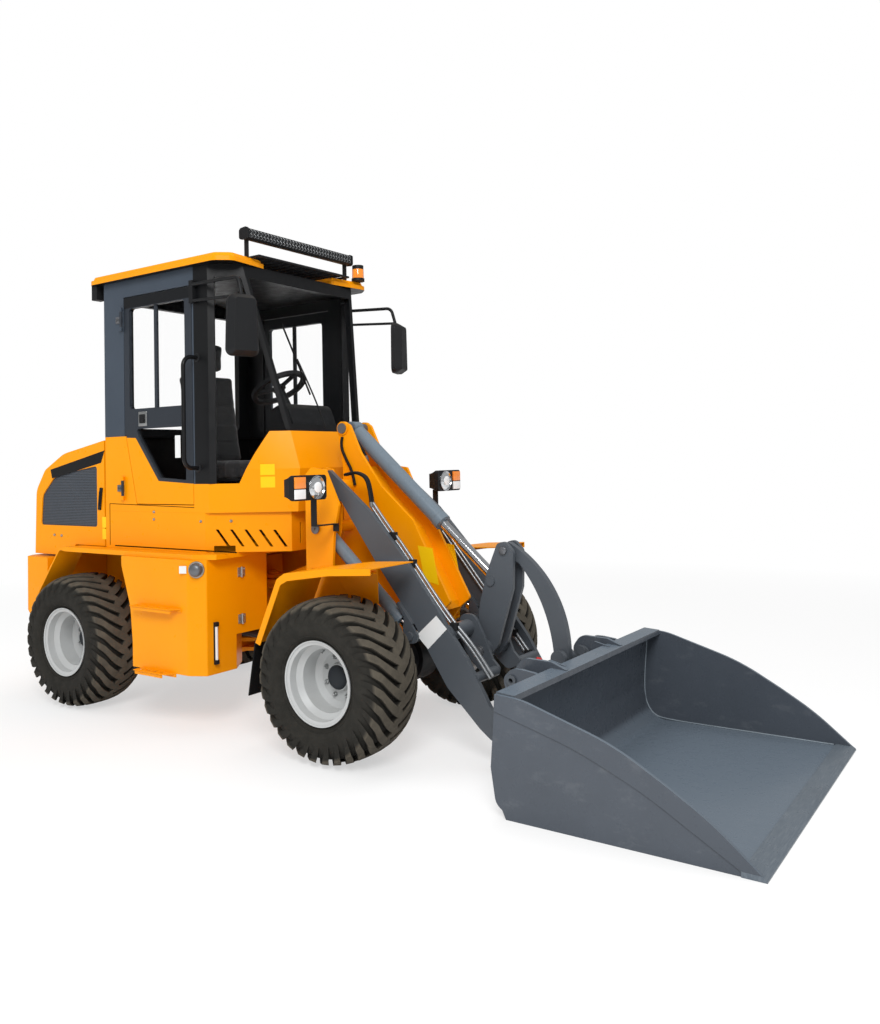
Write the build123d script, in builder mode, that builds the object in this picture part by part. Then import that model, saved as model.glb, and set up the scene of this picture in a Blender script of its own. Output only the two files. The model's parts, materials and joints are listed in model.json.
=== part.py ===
from build123d import *
import math
import os

# Articulated wheel loader with a cab, a single-lever tilt linkage and a light-material bucket.
# Millimetres. X forward, Y left, Z up. While modelling, X = 0 is the front axle and Z = 0 the
# ground; every finished piece is moved by SHIFT so that the origin is under the machine's middle.

os.makedirs("parts", exist_ok=True)

# ---------------------------------------------------------------- driving dimensions
WHEELBASE = 2218.0
TRACK = 1360.0
TYRE_R = 437.0
TYRE_W = 390.0
BODY_HALF = 670.0          # half width over the cab sides and the hood
PLATFORM_HALF = 800.0      # half width over the platform and the rear fenders
PLATFORM_Z = 1030.0        # underside of the platform
REAR_X = -2860.0           # back of the counterweight
BUCKET_EDGE_X = 2256.0     # front of the cutting edge
BUCKET_HALF = 918.0
ROOF_Z = 2868.0            # top of the roof skin
STEER_ANGLE = 30.0         # articulation each way, degrees

PIVOT_X = -WHEELBASE / 2
HITCH_REACH = 70.0         # how far the tow hitch stands out behind the counterweight
SHIFT = -(REAR_X - HITCH_REACH + BUCKET_EDGE_X) / 2
PIN_PLAY = 0.05            # radial clearance of a pin in its bore

# boom linkage, as (x, z) in the machine's middle plane, bucket on the ground
ARM_PIVOT = (-360.0, 1440.0)
LIFT_BASE = (-360.0, 1205.0)
LIFT_EYE = (272.0, 633.0)
BUCKET_PIN = (830.0, 195.0)
HITCH_SHAFT = (965.0, 503.0)
LEVER_PIVOT = (560.0, 540.0)
LEVER_MID = (605.0, 915.0)
LEVER_TOP = (690.0, 1088.0)
LINK_FOOT = (1000.0, 528.0)    # lower eye of the curved link, on the hitch
TILT_BASE = (-395.0, 1800.0)
STEER_Z = 480.0            # level of the steering cylinders
STEER_BASE = (-1500.0, 130.0)      # (x, y) of the rear and front pins of the left one
STEER_EYE = (-760.0, 165.0)
STEER_BARREL = 470.0
TILT_BARREL = 867.0
ARM_Y = 345.0              # middle plane of each boom arm and lift cylinder
ARM_T = 30.0
LEVER_Y = 55.0             # middle plane of each lever plate
LEVER_T = 25.0
BUCKET_PIN_R = 25.0
LEVER_PIN_R = 28.0
SHAFT_R = 26.0
LINK_PIN_R = 22.0
TILT_PIN_R = 32.0
HOOD_HINGE = (-2012.0, 1786.0)     # (x, z) of the hood's hinge line


def keep(name, builder):
    """Move a finished piece to the shared frame, label it and write its file."""
    part = Pos(SHIFT, 0, 0) * builder.part
    part.label = name
    export_step(part, f"parts/{name}.step")


def corner_arc(before, corner, after, radius):
    """Start, middle and end of the arc that rounds a corner, kept within its two edges."""
    to_before = (Vector(*before) - Vector(*corner)).normalized()
    to_after = (Vector(*after) - Vector(*corner)).normalized()
    half = math.acos(max(-1.0, min(1.0, to_before.dot(to_after)))) / 2
    reach = min(radius / math.tan(half), 0.48 * math.dist(before, corner), 0.48 * math.dist(after, corner))
    radius = reach * math.tan(half)
    centre = Vector(*corner) + (to_before + to_after).normalized() * (radius / math.sin(half))
    middle = centre + (Vector(*corner) - centre).normalized() * radius
    return Vector(*corner) + to_before * reach, middle, Vector(*corner) + to_after * reach


def outline(points, plane):
    """A filled polygon on a plane; a point given as (u, v, radius) is a rounded corner."""
    runs = []
    for index, point in enumerate(points):
        here = point[:2]
        if len(point) == 2:
            runs.append([Vector(*here)])
        else:
            runs.append(list(corner_arc(points[index - 1][:2], here, points[(index + 1) % len(points)][:2], point[2])))
    with BuildSketch(plane) as sketch:
        with BuildLine():
            for index, run in enumerate(runs):
                if len(run) == 3:
                    ThreePointArc(*run)
                Line(run[-1], runs[(index + 1) % len(runs)][0])
        make_face()
    return sketch.sketch


def side_plate(points, y, thickness, mode=Mode.ADD):
    """A plate standing lengthwise; its outline is in (x, z), its middle at y."""
    extrude(outline(points, Plane.XZ.offset(-y)), amount=thickness / 2, both=True, mode=mode)


def flat_plate(points, z, thickness, mode=Mode.ADD):
    """A level plate; its outline is in (x, y), its underside at z."""
    extrude(outline(points, Plane.XY.offset(z)), amount=thickness, mode=mode)


def block(x0, x1, y0, y1, z0, z1, mode=Mode.ADD):
    """A box by its six limits."""
    with Locations(((x0 + x1) / 2, (y0 + y1) / 2, (z0 + z1) / 2)):
        Box(abs(x1 - x0), abs(y1 - y0), abs(z1 - z0), mode=mode)


def bar_y(centre, radius, y0, y1, mode=Mode.ADD):
    """A round bar across the machine at centre = (x, z)."""
    with Locations(Location((centre[0], (y0 + y1) / 2, centre[1]), (90, 0, 0))):
        Cylinder(radius, abs(y1 - y0), mode=mode)


def bar(start, end, radius, mode=Mode.ADD):
    """A round bar between two points in space."""
    start, end = Vector(*start), Vector(*end)
    with BuildSketch(Plane(origin=start, z_dir=end - start)) as sketch:
        Circle(radius)
    extrude(sketch.sketch, amount=(end - start).length, mode=mode)


def tube_path(points, radius, bend):
    """A bent tube along straight runs with bends of one radius."""
    with BuildPart(mode=Mode.PRIVATE) as run:
        with BuildLine() as path:
            FilletPolyline(*points, radius=bend)
        with BuildSketch(Plane(origin=path.line @ 0, z_dir=path.line % 0)):
            Circle(radius)
        sweep(path=path.line)
    add(run.part)


def along(start, end, distance):
    """The point at a distance from start towards end, both (x, z)."""
    length = math.dist(start, end)
    return tuple(a + (b - a) * distance / length for a, b in zip(start, end))


# ---------------------------------------------------------------- wheels
BEAD_R = 207.0             # tyre bore
RIM_HALF = 169.0           # half width over the rim flanges
RIM_FLANGE_R = 224.0
RIM_WALL = 8.0
DISC_Y = -46.0             # wheel disc, from the rim's middle, outboard positive
HUB_R = 100.0
HUB_FACE_Y = 602.0         # inner face of the turning hub, from the machine's middle
HUB_OUT_Y = 676.0
WHEEL_Z = TYRE_R

WHEELS = (                 # name, axle x, side (+1 left)
    ("front_right", 0.0, -1),
    ("front_left", 0.0, 1),
    ("rear_right", -WHEELBASE, -1),
    ("rear_left", -WHEELBASE, 1),
)
TYRE_SECTION = (           # half of the section: distance from the middle, radius
    (0.0, TYRE_R),
    (110.0, TYRE_R - 4),
    (168.0, TYRE_R - 22),
    (188.0, 372.0),
    (TYRE_W / 2, 320.0),
    (184.0, 262.0),
    (172.0, RIM_FLANGE_R + 6),
    (159.0, RIM_FLANGE_R + 5),
    (154.0, BEAD_R),
)
RIM_SECTION = (            # outer line of the rim from the outer flange to the inner one
    (RIM_HALF, RIM_FLANGE_R),
    (RIM_HALF - 7, RIM_FLANGE_R),
    (RIM_HALF - 13, BEAD_R),
    (110.0, BEAD_R - 3),
    (85.0, 176.0),
    (-40.0, 176.0),
    (-110.0, BEAD_R - 3),
    (-RIM_HALF + 13, BEAD_R),
    (-RIM_HALF + 7, RIM_FLANGE_R),
    (-RIM_HALF, RIM_FLANGE_R),
)


def turned(points, x, y, side, mode=Mode.ADD):
    """Revolve a closed (outboard, radius) outline about the axle line."""
    plane = Plane(origin=(x, y, WHEEL_Z), x_dir=(0, side, 0), z_dir=(side, 0, 0))
    sign = plane.y_dir.Z
    shape = outline([(u, v * sign) for u, v in points], plane)
    revolve(shape, axis=Axis((x, y, WHEEL_Z), (0, 1, 0)), mode=mode)


for wheel_name, axle_x, side in WHEELS:
    wheel_y = side * TRACK / 2
    with BuildPart() as tyre:
        half = list(TYRE_SECTION)
        turned(half + [(-u, v) for u, v in reversed(half[1:])], axle_x, wheel_y, side)
    keep(f"tyre_{wheel_name}", tyre)
    with BuildPart() as rim:
        outer = list(RIM_SECTION)
        inner = [(u, v - RIM_WALL) for u, v in reversed(outer[1:-1])]
        inner = [(RIM_HALF - 3, RIM_FLANGE_R - RIM_WALL)] + inner[::-1] + [(-RIM_HALF + 3, RIM_FLANGE_R - RIM_WALL)]
        turned(outer + inner[::-1], axle_x, wheel_y, side)
        disc = [(DISC_Y, HUB_R), (DISC_Y, 140.0), (DISC_Y + 22, 170.0), (DISC_Y + 34, 170.0),
                (DISC_Y + 12, 134.0), (DISC_Y + 12, HUB_R)]
        turned(disc, axle_x, wheel_y, side)
        hub = [(HUB_FACE_Y - TRACK / 2, 0.0), (HUB_FACE_Y - TRACK / 2, HUB_R), (DISC_Y + 12, HUB_R),
               (DISC_Y + 14, 78.0), (HUB_OUT_Y - TRACK / 2, 70.0), (HUB_OUT_Y - TRACK / 2, 0.0)]
        turned(hub, axle_x, wheel_y, side)
    keep(f"rim_{wheel_name}", rim)

# ---------------------------------------------------------------- axles
AXLE_TUBE_R = 65.0
AXLE_DRUM_R = 112.0
AXLE_DRUM_IN = 515.0
AXLE_DRUM_OUT = HUB_FACE_Y - 2
DIFF_R = 150.0


def axle(x, input_dir):
    """A driven axle: differential, two tapering arms, two planetary drums and its input neck."""
    with BuildPart() as housing:
        with Locations(Location((x, 0, WHEEL_Z), (90, 0, 0))):
            Cylinder(DIFF_R, 170)
        bar_y((x, WHEEL_Z), AXLE_TUBE_R, -AXLE_DRUM_IN, AXLE_DRUM_IN)
        for side in (-1, 1):
            with BuildSketch(Plane(origin=(x, side * 85, WHEEL_Z), z_dir=(0, side, 0))) as root:
                Circle(DIFF_R * 0.8)
            with BuildSketch(Plane(origin=(x, side * 230, WHEEL_Z), z_dir=(0, side, 0))) as tip:
                Circle(AXLE_TUBE_R)
            loft(Sketch() + [root.sketch, tip.sketch])
            bar_y((x, WHEEL_Z), AXLE_DRUM_R, side * AXLE_DRUM_IN, side * AXLE_DRUM_OUT)
        bar((x, 0, WHEEL_Z), (x + input_dir * 240, 0, WHEEL_Z + 15), 60)
    return housing


keep("front_axle", axle(0.0, -1))
keep("rear_axle", axle(-WHEELBASE, 1))

# ---------------------------------------------------------------- front frame with the boom tower
FRAME_Y = 105.0            # middle plane of each tower plate
FRAME_T = 20.0
OUTER_Y = 410.0            # middle plane of the plates outside the arms
RIB_Y = 290.0
RIB_T = 16.0
ARM_PIN_R = 30.0
LIFT_PIN_R = 22.0
PIN_END_Y = OUTER_Y + FRAME_T / 2 + 6
HINGE_LUGS = (             # underside of each front hinge lug
    385.0,
    800.0,
)
HINGE_LUG_T = 30.0
HINGE_PIN_R = 30.0
HINGE_HALF = 95.0

with BuildPart() as front_frame:
    tower_outline = [(-440, 1812, 35), (-350, 1835, 35), (-262, 1650, 60), (-105, 1439), (116, 1247), (367, 785, 20),
                     (298, 729, 20), (205, 600, 30), (-190, 600, 40), (-250, 505, 40), (-330, 345, 30),
                     (-960, 345), (-960, 860), (-520, 1005, 60), (-400, 1080, 60), (-400, 1560, 60)]
    for side in (-1, 1):
        side_plate(tower_outline, side * FRAME_Y, FRAME_T)
        outer_outline = [(-440, 1520, 30), (-395, 1565, 30), (-286, 1550, 15), (-185, 1345, 20), (-226, 1171, 40),
                         (-240, 960, 60), (90, 640, 30), (90, 600), (-205, 600), (-440, 740, 40)]
        side_plate(outer_outline, side * OUTER_Y, FRAME_T)
        rib_outline = [(-440, 1520, 30), (-395, 1565, 30), (-330, 1550, 15), (-262, 1345, 20), (-280, 1171, 30),
                       (-300, 1110, 20), (-440, 1110, 20)]
        side_plate(rib_outline, side * RIB_Y, RIB_T)
        bar_y(ARM_PIVOT, 48, side * (FRAME_Y - 10), side * (RIB_Y + RIB_T / 2))
        bar_y(LIFT_BASE, 36, side * (FRAME_Y - 10), side * (RIB_Y + RIB_T / 2))
        bar_y(ARM_PIVOT, ARM_PIN_R, side * FRAME_Y, side * PIN_END_Y)
        bar_y(LIFT_BASE, LIFT_PIN_R, side * FRAME_Y, side * PIN_END_Y)
        block(-970, -800, side * (FRAME_Y - 20), side * (FRAME_Y + 20), STEER_Z - 42, STEER_Z + 42, mode=Mode.SUBTRACT)
        bar_y(TILT_BASE, 42, side * (FRAME_Y - 10), side * (FRAME_Y + 18))
        block(-205, 90, side * (FRAME_Y + 10), side * (OUTER_Y + 10), 600, 615)
        block(-90, 70, side * 250, side * OUTER_Y, WHEEL_Z + AXLE_TUBE_R, 600)
        block(-440, -424, side * (FRAME_Y + 10), side * (OUTER_Y + 10), 745, 1120)
        for z in (STEER_Z - 29, STEER_Z + 21):
            block(STEER_EYE[0] - 35, STEER_EYE[0] + 35, side * (FRAME_Y + 10), side * (STEER_EYE[1] + 30), z, z + 8)
        with Locations((STEER_EYE[0], side * STEER_EYE[1], STEER_Z - 35), (STEER_EYE[0], side * STEER_EYE[1], STEER_Z + 35)):
            Cylinder(20, 12)
    side_plate([(-400, 1560), (-300, 1560), (-160, 1385), (50, 1190), (290, 770), (298, 729), (270, 720),
                (30, 1160), (-180, 1355), (-330, 1520), (-400, 1520)], 0, 2 * FRAME_Y)
    for lug_z in HINGE_LUGS:
        with BuildSketch(Plane.XY.offset(lug_z)) as lug:
            with BuildLine():
                Polyline((-700, -FRAME_Y), (PIVOT_X, -HINGE_HALF), (PIVOT_X, HINGE_HALF), (-700, FRAME_Y), close=True)
            make_face()
            with Locations((PIVOT_X, 0)):
                Circle(HINGE_HALF)
                Circle(HINGE_PIN_R + PIN_PLAY, mode=Mode.SUBTRACT)
        extrude(lug.sketch, amount=HINGE_LUG_T)
    bar_y(TILT_BASE, TILT_PIN_R + PIN_PLAY, -FRAME_Y - 60, FRAME_Y + 60, mode=Mode.SUBTRACT)
keep("front_frame", front_frame)

with BuildPart() as tilt_pin:
    bar_y(TILT_BASE, TILT_PIN_R, -FRAME_Y - 26, FRAME_Y + 26)
keep("tilt_pin", tilt_pin)

# fenders over the front wheels
FENDER_IN = 440.0
FENDER_OUT = 820.0
FENDER_T = 6.0
with BuildPart() as front_fenders:
    for side in (-1, 1):
        middle = side * (FENDER_IN + FENDER_OUT) / 2
        side_plate([(-470, 600), (-302, 960, 30), (-245, 995, 20), (70, 1036), (345, 1050), (345, 1050 - FENDER_T),
                    (70, 1036 - FENDER_T), (-242, 995 - FENDER_T), (-296, 960 - FENDER_T), (-463, 597)],
                   middle, FENDER_OUT - FENDER_IN)
        side_plate([(-470, 600), (-302, 960, 30), (-245, 995, 20), (70, 1036), (345, 1050), (345, 1015),
                    (70, 998), (-225, 955, 20), (-275, 930, 20), (-435, 588)], side * (FENDER_OUT - 3), 6)
        side_plate([(-400, 975), (90, 1030), (90, 640), (-240, 960)], side * (OUTER_Y + 13), 6)
        block(-330, 80, side * (OUTER_Y + 10), side * (FENDER_IN + 20), 968, 974)
keep("front_fenders", front_fenders)

with BuildPart() as mudflaps:
    for side in (-1, 1):
        side_plate([(-452, 640), (-471, 598), (-528, 300), (-536, 300), (-480, 598), (-461, 642)], side * 710, 210)
keep("mudflaps", mudflaps)

# ---------------------------------------------------------------- boom
ARM_OUTLINE = (            # (x, z, corner radius)
    (-418, 1490, 50), (-305, 1548, 12), (0, 1300, 60), (231, 1050), (428, 804), (516, 672, 80),
    (616, 545, 80), (765, 290, 60), (893, 262, 60), (893, 130, 60), (760, 140, 40), (692, 190, 60),
    (492, 381, 120), (392, 535, 60), (292, 692, 100), (18, 1040), (-218, 1366), (-330, 1366, 60), (-418, 1400, 50),
)
CROSS_TUBE = (485.0, 660.0)
LOW_TUBE = (655.0, 440.0)
BRACKET_Y = 118.0
BRACKET_T = 20.0
with BuildPart() as boom:
    for side in (-1, 1):
        side_plate(ARM_OUTLINE, side * ARM_Y, ARM_T)
        bar_y(ARM_PIVOT, 60, side * (ARM_Y - 40), side * (ARM_Y + 45))
        bar_y(BUCKET_PIN, 58, side * (ARM_Y - 16), side * (ARM_Y + 16))
        for lug_y in (-31, 31):
            side_plate([(235, 765), (325, 640), (312, 596, 34), (236, 590, 34), (226, 665)],
                       side * (ARM_Y + lug_y), 14)
        side_plate([(196, 814), (286, 700), (268, 690), (182, 802)], side * ARM_Y, 76)
        bar_y(CROSS_TUBE, 45, side * BRACKET_Y, side * ARM_Y)
        side_plate([(440, 735, 40), (530, 735, 60), (590, 620, 60), (640, 500), (700, 440, 40), (600, 395, 40),
                    (500, 480, 40), (430, 600, 40)], side * BRACKET_Y, BRACKET_T)
    for side in (-1, 1):
        bar_y(LOW_TUBE, 28, side * BRACKET_Y, side * ARM_Y)
    for side in (-1, 1):
        bar_y(ARM_PIVOT, ARM_PIN_R + PIN_PLAY, side * 280, side * 420, mode=Mode.SUBTRACT)
        bar_y(LIFT_EYE, 24, side * (ARM_Y - 50), side * (ARM_Y - 37))
        bar_y(LIFT_EYE, 24, side * (ARM_Y + 37), side * (ARM_Y + 50))
        bar_y(BUCKET_PIN, BUCKET_PIN_R + PIN_PLAY, side * 300, side * 400, mode=Mode.SUBTRACT)
    bar_y(LEVER_PIVOT, LEVER_PIN_R + PIN_PLAY, -BRACKET_Y - 40, BRACKET_Y + 40, mode=Mode.SUBTRACT)
keep("boom", boom)

HITCH_TUBE_R = 60.0        # tube between the two bucket pins
with BuildPart() as bucket_pins:
    for side in (-1, 1):
        bar_y(BUCKET_PIN, BUCKET_PIN_R, side * (ARM_Y - 60), side * (ARM_Y + 44))
    bar_y(BUCKET_PIN, HITCH_TUBE_R, -(ARM_Y - 46), ARM_Y - 46)
keep("bucket_pins", bucket_pins)

with BuildPart() as lever_pin:
    bar_y(LEVER_PIVOT, LEVER_PIN_R, -BRACKET_Y - 18, BRACKET_Y + 18)
keep("lever_pin", lever_pin)

# ---------------------------------------------------------------- tilt lever and curved link
with BuildPart() as tilt_lever:
    for side in (-1, 1):
        side_plate([(650, 1125, 30), (700, 1140, 40), (750, 1085, 40), (742, 880), (640, 560, 50), (560, 480, 50),
                    (500, 540, 50), (530, 780, 60), (580, 960, 60)], side * LEVER_Y, LEVER_T)
        bar_y(LEVER_PIVOT, 50, side * 41, side * 100)
        bar_y(LEVER_MID, 26, side * LEVER_Y, side * (LEVER_Y + 22))
    bar_y(LEVER_PIVOT, LEVER_PIN_R + PIN_PLAY, -110, 110, mode=Mode.SUBTRACT)
    bar_y(LEVER_TOP, LINK_PIN_R + PIN_PLAY, -110, 110, mode=Mode.SUBTRACT)
keep("tilt_lever", tilt_lever)

with BuildPart() as link_pin:
    bar_y(LEVER_TOP, LINK_PIN_R, -LEVER_Y - 22, LEVER_Y + 22)
keep("link_pin", link_pin)

LINK_T = 40.0
with BuildPart() as tilt_link:
    with BuildSketch(Plane.XZ) as link:
        with BuildLine():
            a = ThreePointArc((LEVER_TOP[0] + 14, LEVER_TOP[1] + 38), (971, 855), (LINK_FOOT[0] + 43, LINK_FOOT[1]))
            b = Line(a @ 1, (LINK_FOOT[0] - 43, LINK_FOOT[1] + 8))
            c = ThreePointArc(b @ 1, (884, 822), (LEVER_TOP[0] + 70, LEVER_TOP[1] - 72))
            Polyline(c @ 1, (LEVER_TOP[0], LEVER_TOP[1] - 41), a @ 0)
        make_face()
        with Locations(LEVER_TOP):
            Circle(41)
        with Locations(LINK_FOOT):
            Circle(43)
        with Locations(LEVER_TOP):
            Circle(LINK_PIN_R + PIN_PLAY, mode=Mode.SUBTRACT)
    extrude(link.sketch, amount=LINK_T / 2, both=True)
keep("tilt_link", tilt_link)

# ---------------------------------------------------------------- bucket
BUCKET_WALL = 12.0
BUCKET_TOP = (             # upper edge of each side plate
    (1108, 545), (1240, 536, 400), (1664, 407, 1400), (1884, 282, 1600), (2058, 175, 1600), (2235, 22), (2160, 22),
)
BUCKET_SIDE = (            # outline of each side plate
    *BUCKET_TOP, (2160, 0), (1150, 0), (1112, 80), (1078, 217), (1100, 460),
)
with BuildPart() as bucket:
    for side in (-1, 1):
        side_plate(BUCKET_SIDE, side * (BUCKET_HALF - BUCKET_WALL / 2 - 6), BUCKET_WALL)
        side_plate([*BUCKET_TOP, (1970, 132, 1600), (1790, 238, 1600), (1495, 364, 1400), (1103, 470)],
                   side * (BUCKET_HALF - 3), 6)
    side_plate([(1108, 545), (1100, 440), (1078, 217, 90), (1100, 60, 60), (1190, 0, 80), (2160, 0), (2160, 14), (1196, 14, 80),
                (1116, 68, 60), (1094, 217, 90), (1114, 440), (1122, 545)], 0, 2 * (BUCKET_HALF - 6))
    side_plate([(1108, 500), (1108, 552), (1200, 546), (1204, 520)], 0, 2 * (BUCKET_HALF - 18))
    for side in (-1, 1):
        side_plate([(1100, 400), (1108, 545), (1090, 552), (1020, 560, 30), (965, 560, 50), (915, 510, 50), (930, 450, 45), (1000, 425)],
                   side * 490, 20)
        side_plate([(1095, 380), (1108, 545), (1190, 549), (1110, 580, 30), (950, 585, 60), (895, 510, 60), (930, 430, 40), (1000, 400)],
                   side * ARM_Y, 24)
        side_plate([(1098, 430), (1108, 548), (1150, 551), (1060, 572, 20), (1040, 560, 20), (1050, 470, 20)], side * 275, 14)
    for y0, y1 in ((-800, -560), (560, 800)):
        side_plate([(1070, 217), (1100, 440), (1104, 520), (1088, 516), (1058, 380), (1050, 217)], (y0 + y1) / 2, 16)
    for side in (-1, 1):
        bar_y(HITCH_SHAFT, SHAFT_R + PIN_PLAY, side * 320, side * 520, mode=Mode.SUBTRACT)
keep("bucket", bucket)

with BuildPart() as cutting_edge:
    side_plate([(2160, 0), (BUCKET_EDGE_X, 0), (BUCKET_EDGE_X, 6), (2235, 22), (2160, 22)], 0, 2 * BUCKET_HALF)
keep("cutting_edge", cutting_edge)

with BuildPart() as quick_hitch:
    for side in (-1, 1):
        for offset in (-30, 30):
            side_plate([(780, 150, 50), (880, 130, 50), (1060, 150), (1060, 380), (1000, 520, 40), (930, 540, 40), (900, 420), (780, 260, 50)],
                       side * (ARM_Y + offset), 16)
        bar_y(BUCKET_PIN, BUCKET_PIN_R + PIN_PLAY, side * 290, side * 400, mode=Mode.SUBTRACT)
        bar_y(HITCH_SHAFT, SHAFT_R, side * 300, side * 512)
        bar_y(HITCH_SHAFT, 36, side * 383, side * 478)
        bar_y(HITCH_SHAFT, 12, side * 480, side * 520, mode=Mode.SUBTRACT)
        side_plate([(970, 190, 40), (1045, 190), (1052, 400), (LINK_FOOT[0] + 44, LINK_FOOT[1] + 42, 46),
                    (LINK_FOOT[0] - 44, LINK_FOOT[1] + 42, 46), (950, 430, 60), (950, 300, 60)], side * 48, 16)
        bar_y(LINK_FOOT, 42, side * 26, side * 62)
    bar_y((1000, 230), 35, -(ARM_Y + 30), ARM_Y + 30)
keep("quick_hitch", quick_hitch)

# ---------------------------------------------------------------- cylinders
def cylinder(base, eye, y, eye_r, barrel_r, rod_r, barrel_len, base_pin_r, rod_pin_r, eye_w, rod_eye_w):
    """A cylinder in a lengthwise plane: returns its barrel and its rod as two builders."""
    length = math.dist(base, eye)
    start = along(base, eye, eye_r * 0.8)
    end = along(base, eye, barrel_len)
    nose = along(base, eye, barrel_len - 45)
    rod_start = along(base, eye, barrel_len - 30)
    rod_end = along(base, eye, length - eye_r * 0.6)
    with BuildPart() as barrel:
        bar_y(base, eye_r, y - eye_w / 2, y + eye_w / 2)
        bar((start[0], y, start[1]), (nose[0], y, nose[1]), barrel_r)
        bar((nose[0], y, nose[1]), (end[0], y, end[1]), barrel_r + 4)
        bar((along(base, eye, barrel_len - 140)[0], y, along(base, eye, barrel_len - 140)[1]),
            (end[0], y, end[1]), rod_r + 0.5, mode=Mode.SUBTRACT)
        bar_y(base, base_pin_r + PIN_PLAY, y - eye_w, y + eye_w, mode=Mode.SUBTRACT)
    with BuildPart() as rod:
        bar_y(eye, eye_r, y - rod_eye_w / 2, y + rod_eye_w / 2)
        bar((rod_start[0], y, rod_start[1]), (rod_end[0], y, rod_end[1]), rod_r)
        bar_y(eye, rod_pin_r + PIN_PLAY, y - eye_w, y + eye_w, mode=Mode.SUBTRACT)
    return barrel, rod


lift = [cylinder(LIFT_BASE, LIFT_EYE, side * ARM_Y, 34, 38, 22, 745, LIFT_PIN_R, 20, 80, 44) for side in (-1, 1)]
with BuildPart() as lift_barrels:
    for barrel, rod in lift:
        add(barrel.part)
keep("lift_barrels", lift_barrels)
with BuildPart() as lift_rods:
    for barrel, rod in lift:
        add(rod.part)
keep("lift_rods", lift_rods)
tilt_barrel, tilt_rod = cylinder(TILT_BASE, LEVER_MID, 0, 44, 48, 27, TILT_BARREL, TILT_PIN_R, 22, 80, 70)
sleeve = [along(TILT_BASE, LEVER_MID, reach) for reach in (TILT_BARREL + 155, math.dist(TILT_BASE, LEVER_MID) - 26)]
with tilt_rod:
    with BuildPart(mode=Mode.PRIVATE) as neck:
        bar((sleeve[0][0], 0, sleeve[0][1]), (sleeve[1][0], 0, sleeve[1][1]), 30)
        bar_y(LEVER_MID, 22 + PIN_PLAY, -60, 60, mode=Mode.SUBTRACT)
    add(neck.part)
keep("tilt_barrel", tilt_barrel)
keep("tilt_rod", tilt_rod)

# steering cylinders, level, one each side of the hinge
for name, side in (("right", -1), ("left", 1)):
    base = (STEER_BASE[0], side * STEER_BASE[1])
    eye = (STEER_EYE[0], side * STEER_EYE[1])
    stop = along(base, eye, STEER_BARREL)
    with BuildPart() as steer_barrel:
        with Locations((base[0], base[1], STEER_Z)):
            Cylinder(28, 40)
        bar((*along(base, eye, 22), STEER_Z), (*along(base, eye, 80), STEER_Z), 19)
        bar((*along(base, eye, 66), STEER_Z), (*stop, STEER_Z), 28)
        bar((*along(base, eye, 190), STEER_Z), (*stop, STEER_Z), 15.5, mode=Mode.SUBTRACT)
        with Locations((base[0], base[1], STEER_Z)):
            Cylinder(15 + PIN_PLAY, 60, mode=Mode.SUBTRACT)
    keep(f"steering_barrel_{name}", steer_barrel)
    with BuildPart() as steer_rod:
        with Locations((eye[0], eye[1], STEER_Z)):
            Cylinder(26, 40)
        bar((*along(base, eye, STEER_BARREL - 140), STEER_Z), (*along(eye, base, 20), STEER_Z), 15)
        with Locations((eye[0], eye[1], STEER_Z)):
            Cylinder(15 + PIN_PLAY, 60, mode=Mode.SUBTRACT)
    keep(f"steering_rod_{name}", steer_rod)

# ---------------------------------------------------------------- rear frame
RAIL_Y = 245.0
RAIL_T = 20.0
FORK_T = 24.0
with BuildPart() as rear_chassis:
    for side in (-1, 1):
        side_plate([(-1270, 345), (-1270, 960), (-1500, PLATFORM_Z), (-2740, PLATFORM_Z), (-2740, 640), (-2520, 600), (-1960, 600),
                    (-1800, 420), (-1500, 345)], side * RAIL_Y, RAIL_T)
        block(-WHEELBASE - 90, -WHEELBASE + 90, side * (RAIL_Y - 10), side * (RAIL_Y + 60), 502, 600)
        block(-WHEELBASE - 120, -WHEELBASE + 120, side * (RAIL_Y - 10), side * (RAIL_Y + 60), 600, 625)
        for z in (STEER_Z - 29, STEER_Z + 21):
            block(STEER_BASE[0] - 35, STEER_BASE[0] + 35, side * (STEER_BASE[1] - 30), side * RAIL_Y, z, z + 8)
        with Locations((STEER_BASE[0], side * STEER_BASE[1], STEER_Z)):
            Cylinder(15, 64)
    block(-1295, -1270, -RAIL_Y - 10, RAIL_Y + 10, 345, 960)
    for side in (-1, 1):
        block(-1300, -1260, side * 44, side * 235, STEER_Z - 45, STEER_Z + 45, mode=Mode.SUBTRACT)
    block(-2740, -2715, -RAIL_Y - 10, RAIL_Y + 10, 640, PLATFORM_Z)
    for lug_z in HINGE_LUGS:
        for fork_z in (lug_z - 4 - FORK_T, lug_z + HINGE_LUG_T + 4):
            with BuildSketch(Plane.XY.offset(fork_z)) as fork:
                with BuildLine():
                    Polyline((-1280, -180), (PIVOT_X, -70), (PIVOT_X, 70), (-1280, 180), close=True)
                make_face()
                with Locations((PIVOT_X, 0)):
                    Circle(70)
            extrude(fork.sketch, amount=FORK_T)
    with Locations((PIVOT_X, 0, (HINGE_LUGS[0] + HINGE_LUG_T / 2))):
        Cylinder(HINGE_PIN_R, 110)
    with Locations((PIVOT_X, 0, (HINGE_LUGS[1] + HINGE_LUG_T / 2))):
        Cylinder(HINGE_PIN_R, 110)
keep("rear_chassis", rear_chassis)

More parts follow.
